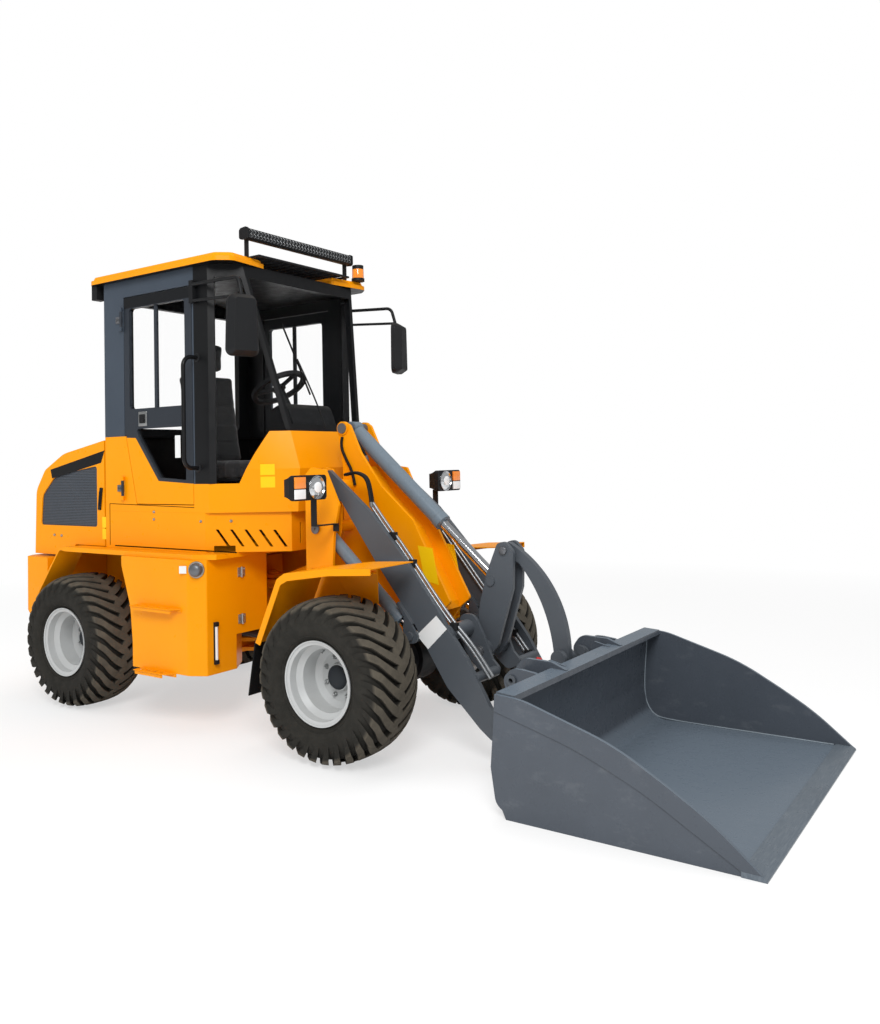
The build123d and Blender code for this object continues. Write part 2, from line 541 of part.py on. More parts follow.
with BuildPart() as platform:
    flat_plate([(-870, -730), (-1000, -PLATFORM_HALF), (-2270, -PLATFORM_HALF), (-2270, -600), (-2010, -600), (-2010, 600),
                (-2270, 600), (-2270, PLATFORM_HALF), (-1000, PLATFORM_HALF), (-870, 730)], PLATFORM_Z, 30)
    for side in (-1, 1):
        side_plate([(-2268, PLATFORM_Z), (-2268, PLATFORM_Z + 30), (-2330, PLATFORM_Z + 22, 40), (-2570, 755), (-2661, 600), (-2652, 594),
                    (-2560, 748), (-2325, PLATFORM_Z + 10, 40)], side * 700, 200)
keep("platform", platform)

TANK_X0 = -920.0
TANK_Z0 = 350.0
TANK_IN = 370.0            # inner wall of each tank, clear of the steering cylinders
with BuildPart() as side_tanks:
    for side in (-1, 1):
        flat_plate([(TANK_X0, side * 530), (TANK_X0, side * 765, 14), (-1020, side * 820, 60), (-1640, side * 820),
                    (-1640, side * TANK_IN), (-1040, side * TANK_IN)], TANK_Z0, PLATFORM_Z - TANK_Z0)
        side_plate([(-1700, 1100), (-1660, PLATFORM_Z), (-1555, 720, 300), (-1535, 500), (-1535, 300), (-1800, 300)],
                   side * 560, 600, mode=Mode.SUBTRACT)
        block(TANK_X0 - 12, TANK_X0, side * 262, side * 535, 558, PLATFORM_Z)
keep("side_tanks", side_tanks)

STEPS = (                  # rear end, front end, front end of the outer edge, underside
    (-1450.0, -1130.0, -1200.0, 348.0),
    (-1480.0, -1080.0, -1120.0, 735.0),
)
STEP_OUT = 885.0
TOOTH = 20.0
with BuildPart() as boarding_steps:
    for side in (-1, 1):
        for back, front, tip, z in STEPS:
            count = int((tip - back) / TOOTH)
            teeth = []
            for index in range(count):
                teeth.append((back + index * TOOTH, side * STEP_OUT))
                teeth.append((back + (index + 0.5) * TOOTH, side * (STEP_OUT - 8)))
            flat_plate([(back, side * 820), *teeth, (tip, side * STEP_OUT), (front, side * 820)], z, 5)
            block(back, front, side * 820, side * 825, z - 18, z)
            block(back, tip, side * 868, side * 873, z - 22, z)
            for index in range(4):
                x = back + (tip - back) * (index + 0.5) / 4
                block(x - 22, x + 22, side * 836, side * 858, z - 5, z + 10, mode=Mode.SUBTRACT)
keep("boarding_steps", boarding_steps)

with BuildPart() as counterweight:
    flat_plate([(-2560, -740), (REAR_X + 60, -740), (REAR_X, -660), (REAR_X, 660), (REAR_X + 60, 740), (-2560, 740)], 540, 430)
    side_plate([(-2380, 1010), (-2573, 757), (-2665, 598), (-2700, 500), (-2300, 500)], 0, 1600, mode=Mode.SUBTRACT)
    side_plate([(REAR_X - 10, 660), (REAR_X - 10, 530), (REAR_X + 120, 530)], 0, 1600, mode=Mode.SUBTRACT)
    block(-2740, -2400, -RAIL_Y - 12, RAIL_Y + 12, 500, 1100, mode=Mode.SUBTRACT)
keep("counterweight", counterweight)

HITCH_BORE_R = 16.0
with BuildPart() as tow_hitch:
    for z in (640, 700):
        with BuildSketch(Plane.XY.offset(z)) as tongue:
            with BuildLine():
                Polyline((REAR_X, -60), (REAR_X - HITCH_REACH + 35, -35), (REAR_X - HITCH_REACH + 35, 35), (REAR_X, 60), close=True)
            make_face()
            with Locations((REAR_X - HITCH_REACH + 35, 0)):
                Circle(35)
                Circle(HITCH_BORE_R, mode=Mode.SUBTRACT)
        extrude(tongue.sketch, amount=20)
keep("tow_hitch", tow_hitch)

with BuildPart() as engine_block:
    block(-2640, -2030, -RAIL_Y + 10.3, RAIL_Y - 10.3, 640, 1380)
keep("engine_block", engine_block)

# ---------------------------------------------------------------- hood
HOOD_FRONT = -2010.0
GRILLE = ((-2740, 1190, 20), (-2722, 1400, 90), (-2565, 1540, 160), (-2090, 1600, 20), (-2090, 1190, 20))
HOOD_WALL = 20.0
with BuildPart() as hood:
    side_plate([(-2815, 985), (-2795, 1435, 120), (-2690, 1578, 80), (-2465, 1690, 300), (HOOD_FRONT, 1770), (HOOD_FRONT, 1064), (-2330, 1064), (-2420, 985)],
               0, 2 * BODY_HALF)
    side_plate([(-2795, 900), (-2775, 1430, 100), (-2680, 1556, 80), (-2460, 1668, 300), (HOOD_FRONT + 50, 1748), (HOOD_FRONT + 50, 900)],
               0, 2 * (BODY_HALF - HOOD_WALL), mode=Mode.SUBTRACT)
    for side in (-1, 1):
        side_plate(GRILLE, side * BODY_HALF, 3 * HOOD_WALL, mode=Mode.SUBTRACT)
    block(-2850, -2780, -400, 400, 1080, 1380, mode=Mode.SUBTRACT)
    for side in (-1, 1):
        bar_y(HOOD_HINGE, 9, side * 300, side * 360)
        block(HOOD_HINGE[0] - 24, HOOD_HINGE[0], side * 300, side * 360, HOOD_HINGE[1] - 28, HOOD_HINGE[1] + 6)
keep("hood", hood)
with BuildPart() as hood_grilles:
    for side in (-1, 1):
        side_plate(GRILLE, side * (BODY_HALF - 12), 8)
    side_plate([(-2804.8, 1080), (-2791.4, 1380), (-2783.4, 1380), (-2796.8, 1080)], 0, 800)
keep("hood_grilles", hood_grilles)

# ---------------------------------------------------------------- cab
CAB_REAR = -1995.0
CAB_FLOOR_Z = PLATFORM_Z + 30
PILLAR_X = -990.0          # front edge of the door pillars
WALL = 45.0
SKIN = 20.0
SILL_Z = 1300.0
WAIST_Z = 1790.0
ROOF_UNDER = 2815.0


def cab_plan(front_x, front_y, side_y=BODY_HALF, rear_x=CAB_REAR, pillar_x=PILLAR_X):
    """Plan of the cab: straight sides, an angled corner each side and a flat front."""
    return [(rear_x, -side_y), (pillar_x, -side_y), (front_x, -front_y), (front_x, front_y),
            (pillar_x, side_y), (rear_x, side_y)]


SCREEN_FOOT = (-621.0, WAIST_Z)
SCREEN_TOP = (-829.0, ROOF_UNDER)
CORNER_SLOPE = 0.906               # dy/dx of the angled corner in plan
CORNER_X = -986.0                  # where the angled corner leaves the side
PANE_T = 6.0
PANE_DEPTH = 12.0
PANE_GAP = 0.3


def screen_x(z, inset=0.0):
    """X of the raked windscreen plane at a height, moved back by inset."""
    rake = (SCREEN_TOP[0] - SCREEN_FOOT[0]) / (SCREEN_TOP[1] - SCREEN_FOOT[1])
    return SCREEN_FOOT[0] + rake * (z - SCREEN_FOOT[1]) - inset


def corner_y(x):
    """Half width of the angled corner at an X."""
    return BODY_HALF - CORNER_SLOPE * (x - CORNER_X)


def corner_plane(side):
    """Plane of the angled corner: local x runs forward from the pillar, local y is up."""
    length = math.hypot(1, CORNER_SLOPE)
    run = Vector(1 / length, -side * CORNER_SLOPE / length, 0)
    out = Vector(CORNER_SLOPE / length, side / length, 0)
    if side > 0:
        return Plane(origin=(CORNER_X, side * BODY_HALF, 0), x_dir=-run, z_dir=out)
    return Plane(origin=(CORNER_X, side * BODY_HALF, 0), x_dir=run, z_dir=out)


def corner_points(side, points):
    """Turn (distance from the pillar, z) points into the corner plane's own sense."""
    return [(-side * u, v) if side > 0 else (u, v) for u, v in points]


def corner_edge(z):
    """Distance from the pillar to the windscreen edge at a height."""
    return (screen_x(z) - CORNER_X) * math.hypot(1, CORNER_SLOPE)


def cab_prism(z0, z1, inset):
    """The cab's upper body between two heights, every wall moved in by inset."""
    shift = inset * math.hypot(1, CORNER_SLOPE)
    side_y = BODY_HALF - inset
    pillar = CORNER_X + (BODY_HALF - side_y - shift) / CORNER_SLOPE
    front = -480.0
    with BuildPart(mode=Mode.PRIVATE) as body:
        flat_plate(cab_plan(front, side_y - CORNER_SLOPE * (front - pillar), side_y, CAB_REAR + inset, pillar),
                   z0, z1 - z0)
        side_plate([(screen_x(z0 - 10, inset), z0 - 10), (screen_x(z1 + 10, inset), z1 + 10), (-300, z1 + 10),
                    (-300, z0 - 10)], 0, 2000, mode=Mode.SUBTRACT)
    return body.part


def hinge_leaf(z):
    """The body's half of a door hinge on both sides: a leaf with a knuckle above and below the door's own."""
    for side in (-1, 1):
        for step in (-64, 64):
            block(DOOR_X[0] - 30, DOOR_X[0] - 6, side * (BODY_HALF - 4), side * (BODY_HALF + 16), z + step - 12, z + step + 12)
            with Locations((DOOR_X[0] - 6, side * (BODY_HALF + 16), z + step)):
                Cylinder(9, 27.4)


SCREEN_OPENING = ((-322, 1835), (-488, 2735), (488, 2735), (322, 1835))
CORNER_OPENING = ((42, 1400), (42, 2735), (corner_edge(2735) - 30, 2735), (corner_edge(1810) - 30, 1810),
                  (560, 1700), (560, 1400))
REAR_OPENING = ((-520, 1850, 40), (-520, 2700, 40), (520, 2700, 40), (520, 1850, 40))
COWL_TOP = ((-1125, 1476), (-839, 1476), (-770, 1646), (-706, 1790))
DOOR_X = (-1790.0, -1125.0)
DOOR_Z = (1345.0, 2705.0)

with BuildPart() as cab_frame:
    add(cab_prism(COWL_TOP[0][1], ROOF_UNDER, 0))
    add(cab_prism(1400, ROOF_UNDER - 30, WALL), mode=Mode.SUBTRACT)
    block(-2100, DOOR_X[0], -800, 800, 1400, WAIST_Z, mode=Mode.SUBTRACT)
    block(-950, -400, -800, 800, 1400, WAIST_Z, mode=Mode.SUBTRACT)
    block(DOOR_X[0], DOOR_X[1], -800, 800, 1300, DOOR_Z[1], mode=Mode.SUBTRACT)
    extrude(outline(SCREEN_OPENING, Plane.YZ.offset(-930)), amount=600, mode=Mode.SUBTRACT)
    extrude(outline(REAR_OPENING, Plane.YZ.offset(-2100)), amount=300, mode=Mode.SUBTRACT)
    for side in (-1, 1):
        extrude(outline(corner_points(side, CORNER_OPENING), corner_plane(side).offset(-80)), amount=160, mode=Mode.SUBTRACT)
    hinge_leaf(2560)
keep("cab_frame", cab_frame)

COWL_SECTIONS = (          # z, x of the front corner, half width at the front corner
    (SILL_Z, -548.0, 365.0),
    (1560.0, -530.0, 362.0),
    (WAIST_Z, -606.0, 358.0),
)


def cowl_shell(inset):
    """Ruled loft of the lower cab body through its sections."""
    sketches = []
    for z, x, half in COWL_SECTIONS:
        sketches.append(outline(cab_plan(x - inset, half - inset * 0.4, BODY_HALF - inset, CAB_REAR + inset, -995), Plane.XY.offset(z)))
    return Solid.make_loft([sketch.faces()[0].outer_wire() for sketch in sketches], ruled=True)


with BuildPart() as cab_body:
    add(cowl_shell(0))
    add(cowl_shell(SKIN), mode=Mode.SUBTRACT)
    side_plate([COWL_TOP[0], *COWL_TOP[1:], (-706, 1900), (-1125, 1900)], 0, 2000, mode=Mode.SUBTRACT)
    side_plate([(-1775, 1900), (-1775, 1780), (-1672, DOOR_Z[0]), (-1125, DOOR_Z[0]), (-1125, 1900)], 0, 2000, mode=Mode.SUBTRACT)
    extrude(outline(REAR_OPENING, Plane.YZ.offset(-2100)), amount=300, mode=Mode.SUBTRACT)
    hinge_leaf(1450)
    for side in (-1, 1):
        bar_y(HOOD_HINGE, 9, side * 364, side * 420)
        block(HOOD_HINGE[0], CAB_REAR + 5, side * 364, side * 420, HOOD_HINGE[1] - 7, HOOD_HINGE[1] + 3)
keep("cab_body", cab_body)

SLOTS = 5                  # slanted cooling slots in each angled corner
SLOT_START = 70.0
SLOT_PITCH = 87.0
SKIRT_CORNER = ((-1028.0, 670.0), (-600.0, 368.0))     # (x, y) ends of the angled corner


def skirt_plane(side):
    """Plane of the skirt's angled corner, facing outward, with its origin at the rear end."""
    (x0, y0), (x1, y1) = SKIRT_CORNER
    length = math.dist(*SKIRT_CORNER)
    run = Vector((x1 - x0) / length, side * (y1 - y0) / length, 0)
    out = Vector((y0 - y1) / length, side * (x1 - x0) / length, 0)
    return Plane(origin=(x0, side * y0, 0), x_dir=-run if side > 0 else run, z_dir=out)


with BuildPart() as skirt_panels:
    flat_plate(cab_plan(-600, 368, BODY_HALF, CAB_REAR, -1028), CAB_FLOOR_Z, SILL_Z - CAB_FLOOR_Z)
    flat_plate(cab_plan(-612, 362, BODY_HALF - 12, CAB_REAR + 12, -1032), CAB_FLOOR_Z + 10, 400, mode=Mode.SUBTRACT)
    flat_plate([(-2100, -640), (-880, -640), (-880, 640), (-2100, 640)], CAB_FLOOR_Z - 10, 50, mode=Mode.SUBTRACT)
    for side in (-1, 1):
        plane = skirt_plane(side)
        for index in range(SLOTS):
            reach = SLOT_START + index * SLOT_PITCH
            top, foot = (reach, 1199 - 2 * index), (reach + 71, 1096 - 2 * index)
            extrude(outline([(u if side < 0 else -u, v) for u, v in
                             ((top[0] - 9, top[1]), (top[0] + 9, top[1]), (foot[0] + 9, foot[1]), (foot[0] - 9, foot[1]))],
                            plane.offset(-40)), amount=60, mode=Mode.SUBTRACT)
        block(-630, -590, side * 278, side * 294, 1103, 1228, mode=Mode.SUBTRACT)
keep("skirt_panels", skirt_panels)

with BuildPart() as cab_roof:
    roof_plan = outline([(-2110, -720, 70), (-880, -720, 60), (-790, -640, 60), (-830, -325, 30), (-1080, -325), (-1080, 325),
                         (-830, 325, 30), (-790, 640, 60), (-880, 720, 60), (-2110, 720, 70)], Plane.XY.offset(ROOF_UNDER))
    extrude(roof_plan, amount=28)
    extrude(roof_plan, amount=ROOF_Z - ROOF_UNDER, taper=24)
keep("cab_roof", cab_roof)

GUARD_BAYS = 12            # open bays between the bars of the roof guard
with BuildPart() as roof_guard:
    block(-1105, -770, -440, 440, ROOF_Z, ROOF_Z + 12)
    for index in range(GUARD_BAYS):
        y = -428 + 856 * index / GUARD_BAYS
        block(-1091, -784, y + 4, y + 856 / GUARD_BAYS - 4, ROOF_Z - 5, ROOF_Z + 20, mode=Mode.SUBTRACT)
    for index in range(1, 4):
        x = -1091 + 307 * index / 4
        block(x - 3, x + 3, -430, 430, ROOF_Z + 1, ROOF_Z + 7)
keep("roof_guard", roof_guard)

with BuildPart() as cab_glass:
    with BuildPart(mode=Mode.PRIVATE) as pane:
        extrude(outline(SCREEN_OPENING, Plane.YZ.offset(-930)), amount=600)
        side_plate([(screen_x(1700, PANE_DEPTH), 1700), (screen_x(2900, PANE_DEPTH), 2900),
                    (screen_x(2900, PANE_DEPTH + PANE_T), 2900), (screen_x(1700, PANE_DEPTH + PANE_T), 1700)],
                   0, 2000, mode=Mode.INTERSECT)
    add(pane.part)
    extrude(outline(REAR_OPENING, Plane.YZ.offset(CAB_REAR + PANE_DEPTH)), amount=PANE_T)
    for side in (-1, 1):
        extrude(outline(corner_points(side, ((43, 1478), (43, 2734), (corner_edge(2735) - 31, 2734), (corner_edge(1810) - 31, 1810),
                                             (380, 1795), (294, 1650), (200, 1478))), corner_plane(side).offset(-PANE_DEPTH - PANE_T)), amount=PANE_T)
keep("cab_glass", cab_glass)

# doors
DOOR_GAP = 5.0
DOOR_T = 36.0
DOOR_MID = BODY_HALF - DOOR_T / 2
DOOR_OUTLINE = ((DOOR_X[0] + DOOR_GAP, DOOR_Z[1] - DOOR_GAP), (DOOR_X[1] - DOOR_GAP, DOOR_Z[1] - DOOR_GAP),
                (DOOR_X[1] - DOOR_GAP, DOOR_Z[0] + DOOR_GAP), (-1668, DOOR_Z[0] + DOOR_GAP), (-1769, 1780), (-1769, WAIST_Z + 5), (DOOR_X[0] + DOOR_GAP, WAIST_Z + 7))
DOOR_SKIN = ((DOOR_X[1] - DOOR_GAP, DOOR_Z[0] + DOOR_GAP), (-1668, DOOR_Z[0] + DOOR_GAP), (-1769, 1780), (-1677, 1776), (-1455, 1496), (DOOR_X[1] - DOOR_GAP, 1478))
UPPER_PANE = ((-1735, 1965, 25), (-1735, 2625, 25), (-1195, 2625, 25), (-1195, 1965, 25))
LOWER_PANE = ((-1670, 1835, 20), (-1195, 1835, 20), (-1195, 1500, 10), (-1442, 1515, 20), (-1650, 1785, 20))
for name, side in (("right", -1), ("left", 1)):
    y = side * DOOR_MID
    with BuildPart() as door:
        side_plate(DOOR_OUTLINE, y, DOOR_T)
        side_plate(DOOR_SKIN, y, DOOR_T + 2, mode=Mode.SUBTRACT)
        side_plate(UPPER_PANE, y, DOOR_T + 2, mode=Mode.SUBTRACT)
        side_plate(LOWER_PANE, y, DOOR_T + 2, mode=Mode.SUBTRACT)
        block(-1497, -1470, y - 8, y + 8, 1960, 2630)
        for z in (1450, 2560):
            with Locations((DOOR_X[0] - 6, side * (BODY_HALF + 16), z)):
                Cylinder(9, 100)
    keep(f"door_{name}", door)
    with BuildPart() as skin:
        side_plate(DOOR_SKIN, y, DOOR_T)
    keep(f"door_{name}_skin", skin)
    with BuildPart() as glass:
        side_plate(UPPER_PANE, y, 5)
        block(-1498, -1469, y - 20, y + 20, 1900, 2700, mode=Mode.SUBTRACT)
        side_plate(LOWER_PANE, y, 5)
    keep(f"door_{name}_glass", glass)

# ---------------------------------------------------------------- cab interior
with BuildPart() as seat:
    block(-1640, -1240, -200, 200, CAB_FLOOR_Z, 1480)
    block(-1700, -1180, -250, 250, 1480, 1620)
    side_plate([(-1720, 1560, 40), (-1590, 1600, 30), (-1700, 2250, 50), (-1810, 2230, 50)], 0, 470)
    side_plate([(-1795, 2230, 30), (-1700, 2240, 30), (-1690, 2460, 40), (-1790, 2470, 40)], 0, 280)
keep("seat", seat)

STEER_TOP = (-1030.0, 0, 2085.0)
STEER_FOOT = (-905.0, 0, 1868.0)
with BuildPart() as console:
    side_plate([(-860, CAB_FLOOR_Z + 10), (-860, 1500, 200), (-930, 1930, 40), (-780, 1990, 60), (-690, 1770), (-680, CAB_FLOOR_Z + 10)], 0, 420)
    bar(STEER_TOP, STEER_FOOT, 30.3, mode=Mode.SUBTRACT)
keep("console", console)

with BuildPart() as steering_wheel:
    tilt = Plane(origin=STEER_TOP, z_dir=(-0.5, 0, 0.87))
    with BuildSketch(tilt) as ring:
        Circle(190)
        Circle(160, mode=Mode.SUBTRACT)
    extrude(ring.sketch, amount=28)
    with BuildSketch(tilt) as hub:
        Circle(45)
        with PolarLocations(100, 3):
            Rectangle(150, 22)
    extrude(hub.sketch, amount=20)
    bar(STEER_TOP, STEER_FOOT, 30)
keep("steering_wheel", steering_wheel)

# ---------------------------------------------------------------- lamps, mirrors, rails
LAMP_X = -150.0            # front of the headlights
LAMP_Y = (565.0, 841.0)
LAMP_Z = (1386.0, 1524.0)
with BuildPart() as headlights:
    for side in (-1, 1):
        face = outline([(side * LAMP_Y[0], LAMP_Z[0], 22), (side * LAMP_Y[1], LAMP_Z[0], 22),
                        (side * LAMP_Y[1], LAMP_Z[1], 22), (side * LAMP_Y[0], LAMP_Z[1], 22)], Plane.YZ.offset(LAMP_X - 30))
        extrude(face, amount=30)
        extrude(face, amount=-55, taper=22)
        block(-225, -185, side * (LAMP_Y[0] + 45), side * (LAMP_Y[0] + 51), 1235, LAMP_Z[0] + 10)
        block(-225, -185, side * (OUTER_Y + FRAME_T / 2), side * (LAMP_Y[0] + 51), 1235, 1241)
        block(-225, -185, side * (OUTER_Y + FRAME_T / 2), side * (OUTER_Y + FRAME_T / 2 + 6), 1195, 1241)
keep("headlights", headlights)

BAR_HALF = 512.0           # half length of the light bar
BAR_Z = 3008.0
with BuildPart() as roof_lamps:
    side_plate([(-862, BAR_Z - 30, 14), (-862, BAR_Z + 30, 18), (-812, BAR_Z + 36, 18), (-798, BAR_Z + 26, 8),
                (-798, BAR_Z - 26, 8), (-812, BAR_Z - 36, 14)], 0, 2 * BAR_HALF - 24)
    for side in (-1, 1):
        side_plate([(-868, BAR_Z - 34, 18), (-868, BAR_Z + 34, 22), (-810, BAR_Z + 40, 22), (-792, BAR_Z + 30, 12),
                    (-792, BAR_Z - 30, 12), (-810, BAR_Z - 40, 18)], side * (BAR_HALF - 6), 12)
        block(-856, -826, side * 470, side * 480, ROOF_Z, BAR_Z - 20)
        block(-2100, -2045, side * 620, side * 690, 2720, ROOF_UNDER)
    with Locations((-800, 575, ROOF_Z + 10)):
        Cylinder(46, 20)
    with Locations((-800, 575, ROOF_Z + 66)):
        Cylinder(40, 92)
keep("roof_lamps", roof_lamps)

MIRROR = (-590.0, 760.0, 2390.0)
with BuildPart() as mirrors:
    for side in (-1, 1):
        turn = math.radians(20) * side
        plane = Plane(origin=(MIRROR[0], side * MIRROR[1], MIRROR[2]), x_dir=(0, 0, 1), z_dir=(math.cos(turn), math.sin(turn), 0))
        shell = outline([(-178, -100, 40), (178, -88, 48), (178, 88, 48), (-178, 100, 40)], plane)
        extrude(shell, amount=-30)
        extrude(shell, amount=42, taper=32)
        tube_path([(-1100, side * 690, 2700), (-640, side * 745, 2680), (-590, side * 755, 2500)], 11, 50)
        bar((-1100, side * 690, 2600), (-620, side * 740, 2570), 9)
        block(-1118, -1085, side * BODY_HALF, side * 700, 2585, 2725)
keep("mirrors", mirrors)

HANDLE_Y = BODY_HALF + 110  # how far out the grab handles stand
with BuildPart() as grab_handles:
    for side in (-1, 1):
        tube_path([(-1084, side * (BODY_HALF + 0.3), 2250), (-1084, side * HANDLE_Y, 2250), (-1084, side * HANDLE_Y, 1574), (-1084, side * (BODY_HALF + 0.3), 1574)], 13, 60)
keep("grab_handles", grab_handles)
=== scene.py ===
import json
import math

import bmesh
import bpy
from mathutils import Matrix, Vector

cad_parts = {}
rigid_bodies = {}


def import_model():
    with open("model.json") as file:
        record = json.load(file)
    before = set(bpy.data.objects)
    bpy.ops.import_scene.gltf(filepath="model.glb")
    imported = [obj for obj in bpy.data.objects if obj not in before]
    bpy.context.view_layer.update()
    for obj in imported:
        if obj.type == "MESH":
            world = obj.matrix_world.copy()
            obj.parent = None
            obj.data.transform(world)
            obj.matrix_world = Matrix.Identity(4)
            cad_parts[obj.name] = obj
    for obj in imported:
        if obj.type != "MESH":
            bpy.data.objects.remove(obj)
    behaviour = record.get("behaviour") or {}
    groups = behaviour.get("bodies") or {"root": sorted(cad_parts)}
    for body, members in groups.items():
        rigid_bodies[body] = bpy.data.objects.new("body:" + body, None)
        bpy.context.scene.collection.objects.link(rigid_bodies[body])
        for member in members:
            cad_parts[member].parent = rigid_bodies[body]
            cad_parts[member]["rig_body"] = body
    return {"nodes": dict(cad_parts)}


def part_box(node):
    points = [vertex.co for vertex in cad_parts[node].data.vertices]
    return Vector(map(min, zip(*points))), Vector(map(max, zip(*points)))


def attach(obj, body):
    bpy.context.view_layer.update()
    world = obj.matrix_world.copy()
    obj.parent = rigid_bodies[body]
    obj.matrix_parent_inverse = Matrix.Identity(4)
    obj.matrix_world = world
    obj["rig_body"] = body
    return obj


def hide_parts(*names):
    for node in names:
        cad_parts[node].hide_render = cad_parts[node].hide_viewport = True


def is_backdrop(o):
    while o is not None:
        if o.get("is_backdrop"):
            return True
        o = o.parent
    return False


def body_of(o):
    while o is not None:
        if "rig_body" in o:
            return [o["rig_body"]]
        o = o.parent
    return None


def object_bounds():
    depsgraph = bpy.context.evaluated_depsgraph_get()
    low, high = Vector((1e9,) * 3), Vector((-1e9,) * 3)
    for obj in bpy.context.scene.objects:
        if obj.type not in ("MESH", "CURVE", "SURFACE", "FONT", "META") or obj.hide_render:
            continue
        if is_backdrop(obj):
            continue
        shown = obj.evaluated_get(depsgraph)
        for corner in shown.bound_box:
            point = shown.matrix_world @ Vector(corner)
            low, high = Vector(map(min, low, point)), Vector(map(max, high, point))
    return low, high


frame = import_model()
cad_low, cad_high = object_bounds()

scene = bpy.context.scene
scene.view_settings.view_transform = "Standard"
nodes_by_name = frame["nodes"]

# ------------------------------------------------------------------ places
RIM_LOW, RIM_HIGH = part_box("rim_front_right")
REAR = "rear_machine"
AXLE_X = (RIM_LOW.x + RIM_HIGH.x) / 2            # the front axle: all lengths below are in mm from it
WHEEL_Z = (RIM_LOW.z + RIM_HIGH.z) * 500
WHEELBASE = 2218
TRACK = 1360
TYRE_R = 437
REAR_WALL = -2106.0                              # inner face of the cab's rear wall
HUB_OUT = 676                                    # outer end of the axle hubs
DISC_FACE = TRACK / 2 - 34                       # outer face of the rim discs
ARM_Y = 345                                      # middle plane of each arm
ARM_FACE = 360                                   # outer face of each arm
ARM_PIVOT = (-360, 1440)
LIFT_BASE = (-360, 1205)
BUCKET_PIN = (830, 195)
PIPE_R = 8.5
HOSE_R = 9


def at(x, y, z):
    return Vector((x / 1000 + AXLE_X, y / 1000, z / 1000))


SIDES = ((-1, "right"), (1, "left"))


def srgb(r, g, b):
    def one(v):
        v /= 255
        return v / 12.92 if v <= 0.04045 else ((v + 0.055) / 1.055) ** 2.4
    return (one(r), one(g), one(b), 1.0)


# ------------------------------------------------------------------ materials
class Graph:
    """A small helper around a material's node tree."""

    def __init__(self, name):
        self.material = bpy.data.materials.new(name)
        self.material.use_nodes = True
        self.tree = self.material.node_tree
        self.shader = self.tree.nodes["Principled BSDF"]
        self.output = self.tree.nodes["Material Output"]
        self.coords = self.tree.nodes.new("ShaderNodeTexCoord").outputs["Object"]

    def node(self, kind, **values):
        item = self.tree.nodes.new("ShaderNode" + kind)
        for key, value in values.items():
            if hasattr(item, key):
                setattr(item, key, value)
            else:
                item.inputs[key.replace("_", " ")].default_value = value
        return item

    def link(self, source, target):
        self.tree.links.new(source, target)

    def noise(self, scale, detail=3.0, rough=0.5, stretch=None):
        coords = self.coords
        if stretch:
            mapping = self.node("Mapping")
            mapping.inputs["Scale"].default_value = stretch
            self.link(coords, mapping.inputs["Vector"])
            coords = mapping.outputs["Vector"]
        item = self.node("TexNoise", Scale=scale, Detail=detail, Roughness=rough)
        self.link(coords, item.inputs["Vector"])
        return item.outputs["Fac"]

    def spread(self, value, low, high, out_low=0.0, out_high=1.0):
        item = self.node("MapRange", clamp=True)
        for slot, number in zip(("From Min", "From Max", "To Min", "To Max"), (low, high, out_low, out_high)):
            item.inputs[slot].default_value = number
        self.link(value, item.inputs["Value"])
        return item.outputs["Result"]

    def maths(self, kind, a, b):
        item = self.node("Math", operation=kind)
        for slot, value in zip(item.inputs, (a, b)):
            if hasattr(value, "default_value") or hasattr(value, "is_linked"):
                self.link(value, slot)
            else:
                slot.default_value = value
        return item.outputs["Value"]

    def mix(self, factor, a, b):
        item = self.node("Mix", data_type="RGBA")
        fac, first, second = item.inputs["Factor"], item.inputs[6], item.inputs[7]
        for slot, value in ((fac, factor), (first, a), (second, b)):
            if hasattr(value, "is_linked"):
                self.link(value, slot)
            else:
                slot.default_value = value
        return item.outputs[2]

    def set(self, socket, value):
        slot = self.shader.inputs[socket]
        if hasattr(value, "is_linked"):
            self.link(value, slot)
        else:
            slot.default_value = value

    def bump(self, height, strength, distance=0.001, below=None):
        item = self.node("Bump", Strength=strength, Distance=distance)
        self.link(height, item.inputs["Height"])
        if below is not None:
            self.link(below, item.inputs["Normal"])
        self.link(item.outputs["Normal"], self.shader.inputs["Normal"])
        return item.outputs["Normal"]


def edge_mask(g, rounded):
    """Bright where the surface is a worn edge, broken up by noise."""
    geometry = g.node("NewGeometry")
    dot = g.node("VectorMath", operation="DOT_PRODUCT")
    g.link(rounded, dot.inputs[0])
    g.link(geometry.outputs["Normal"], dot.inputs[1])
    edges = g.spread(dot.outputs["Value"], 0.995, 0.90)
    chips = g.spread(g.noise(55, 6, 0.75), 0.5, 0.64)
    return g.maths("MULTIPLY", edges, chips)


def normal_z(g):
    geometry = g.node("NewGeometry")
    split = g.node("SeparateXYZ")
    g.link(geometry.outputs["Normal"], split.inputs["Vector"])
    return split.outputs["Z"]


def upward_mask(g):
    return g.spread(normal_z(g), 0.35, 1.0)


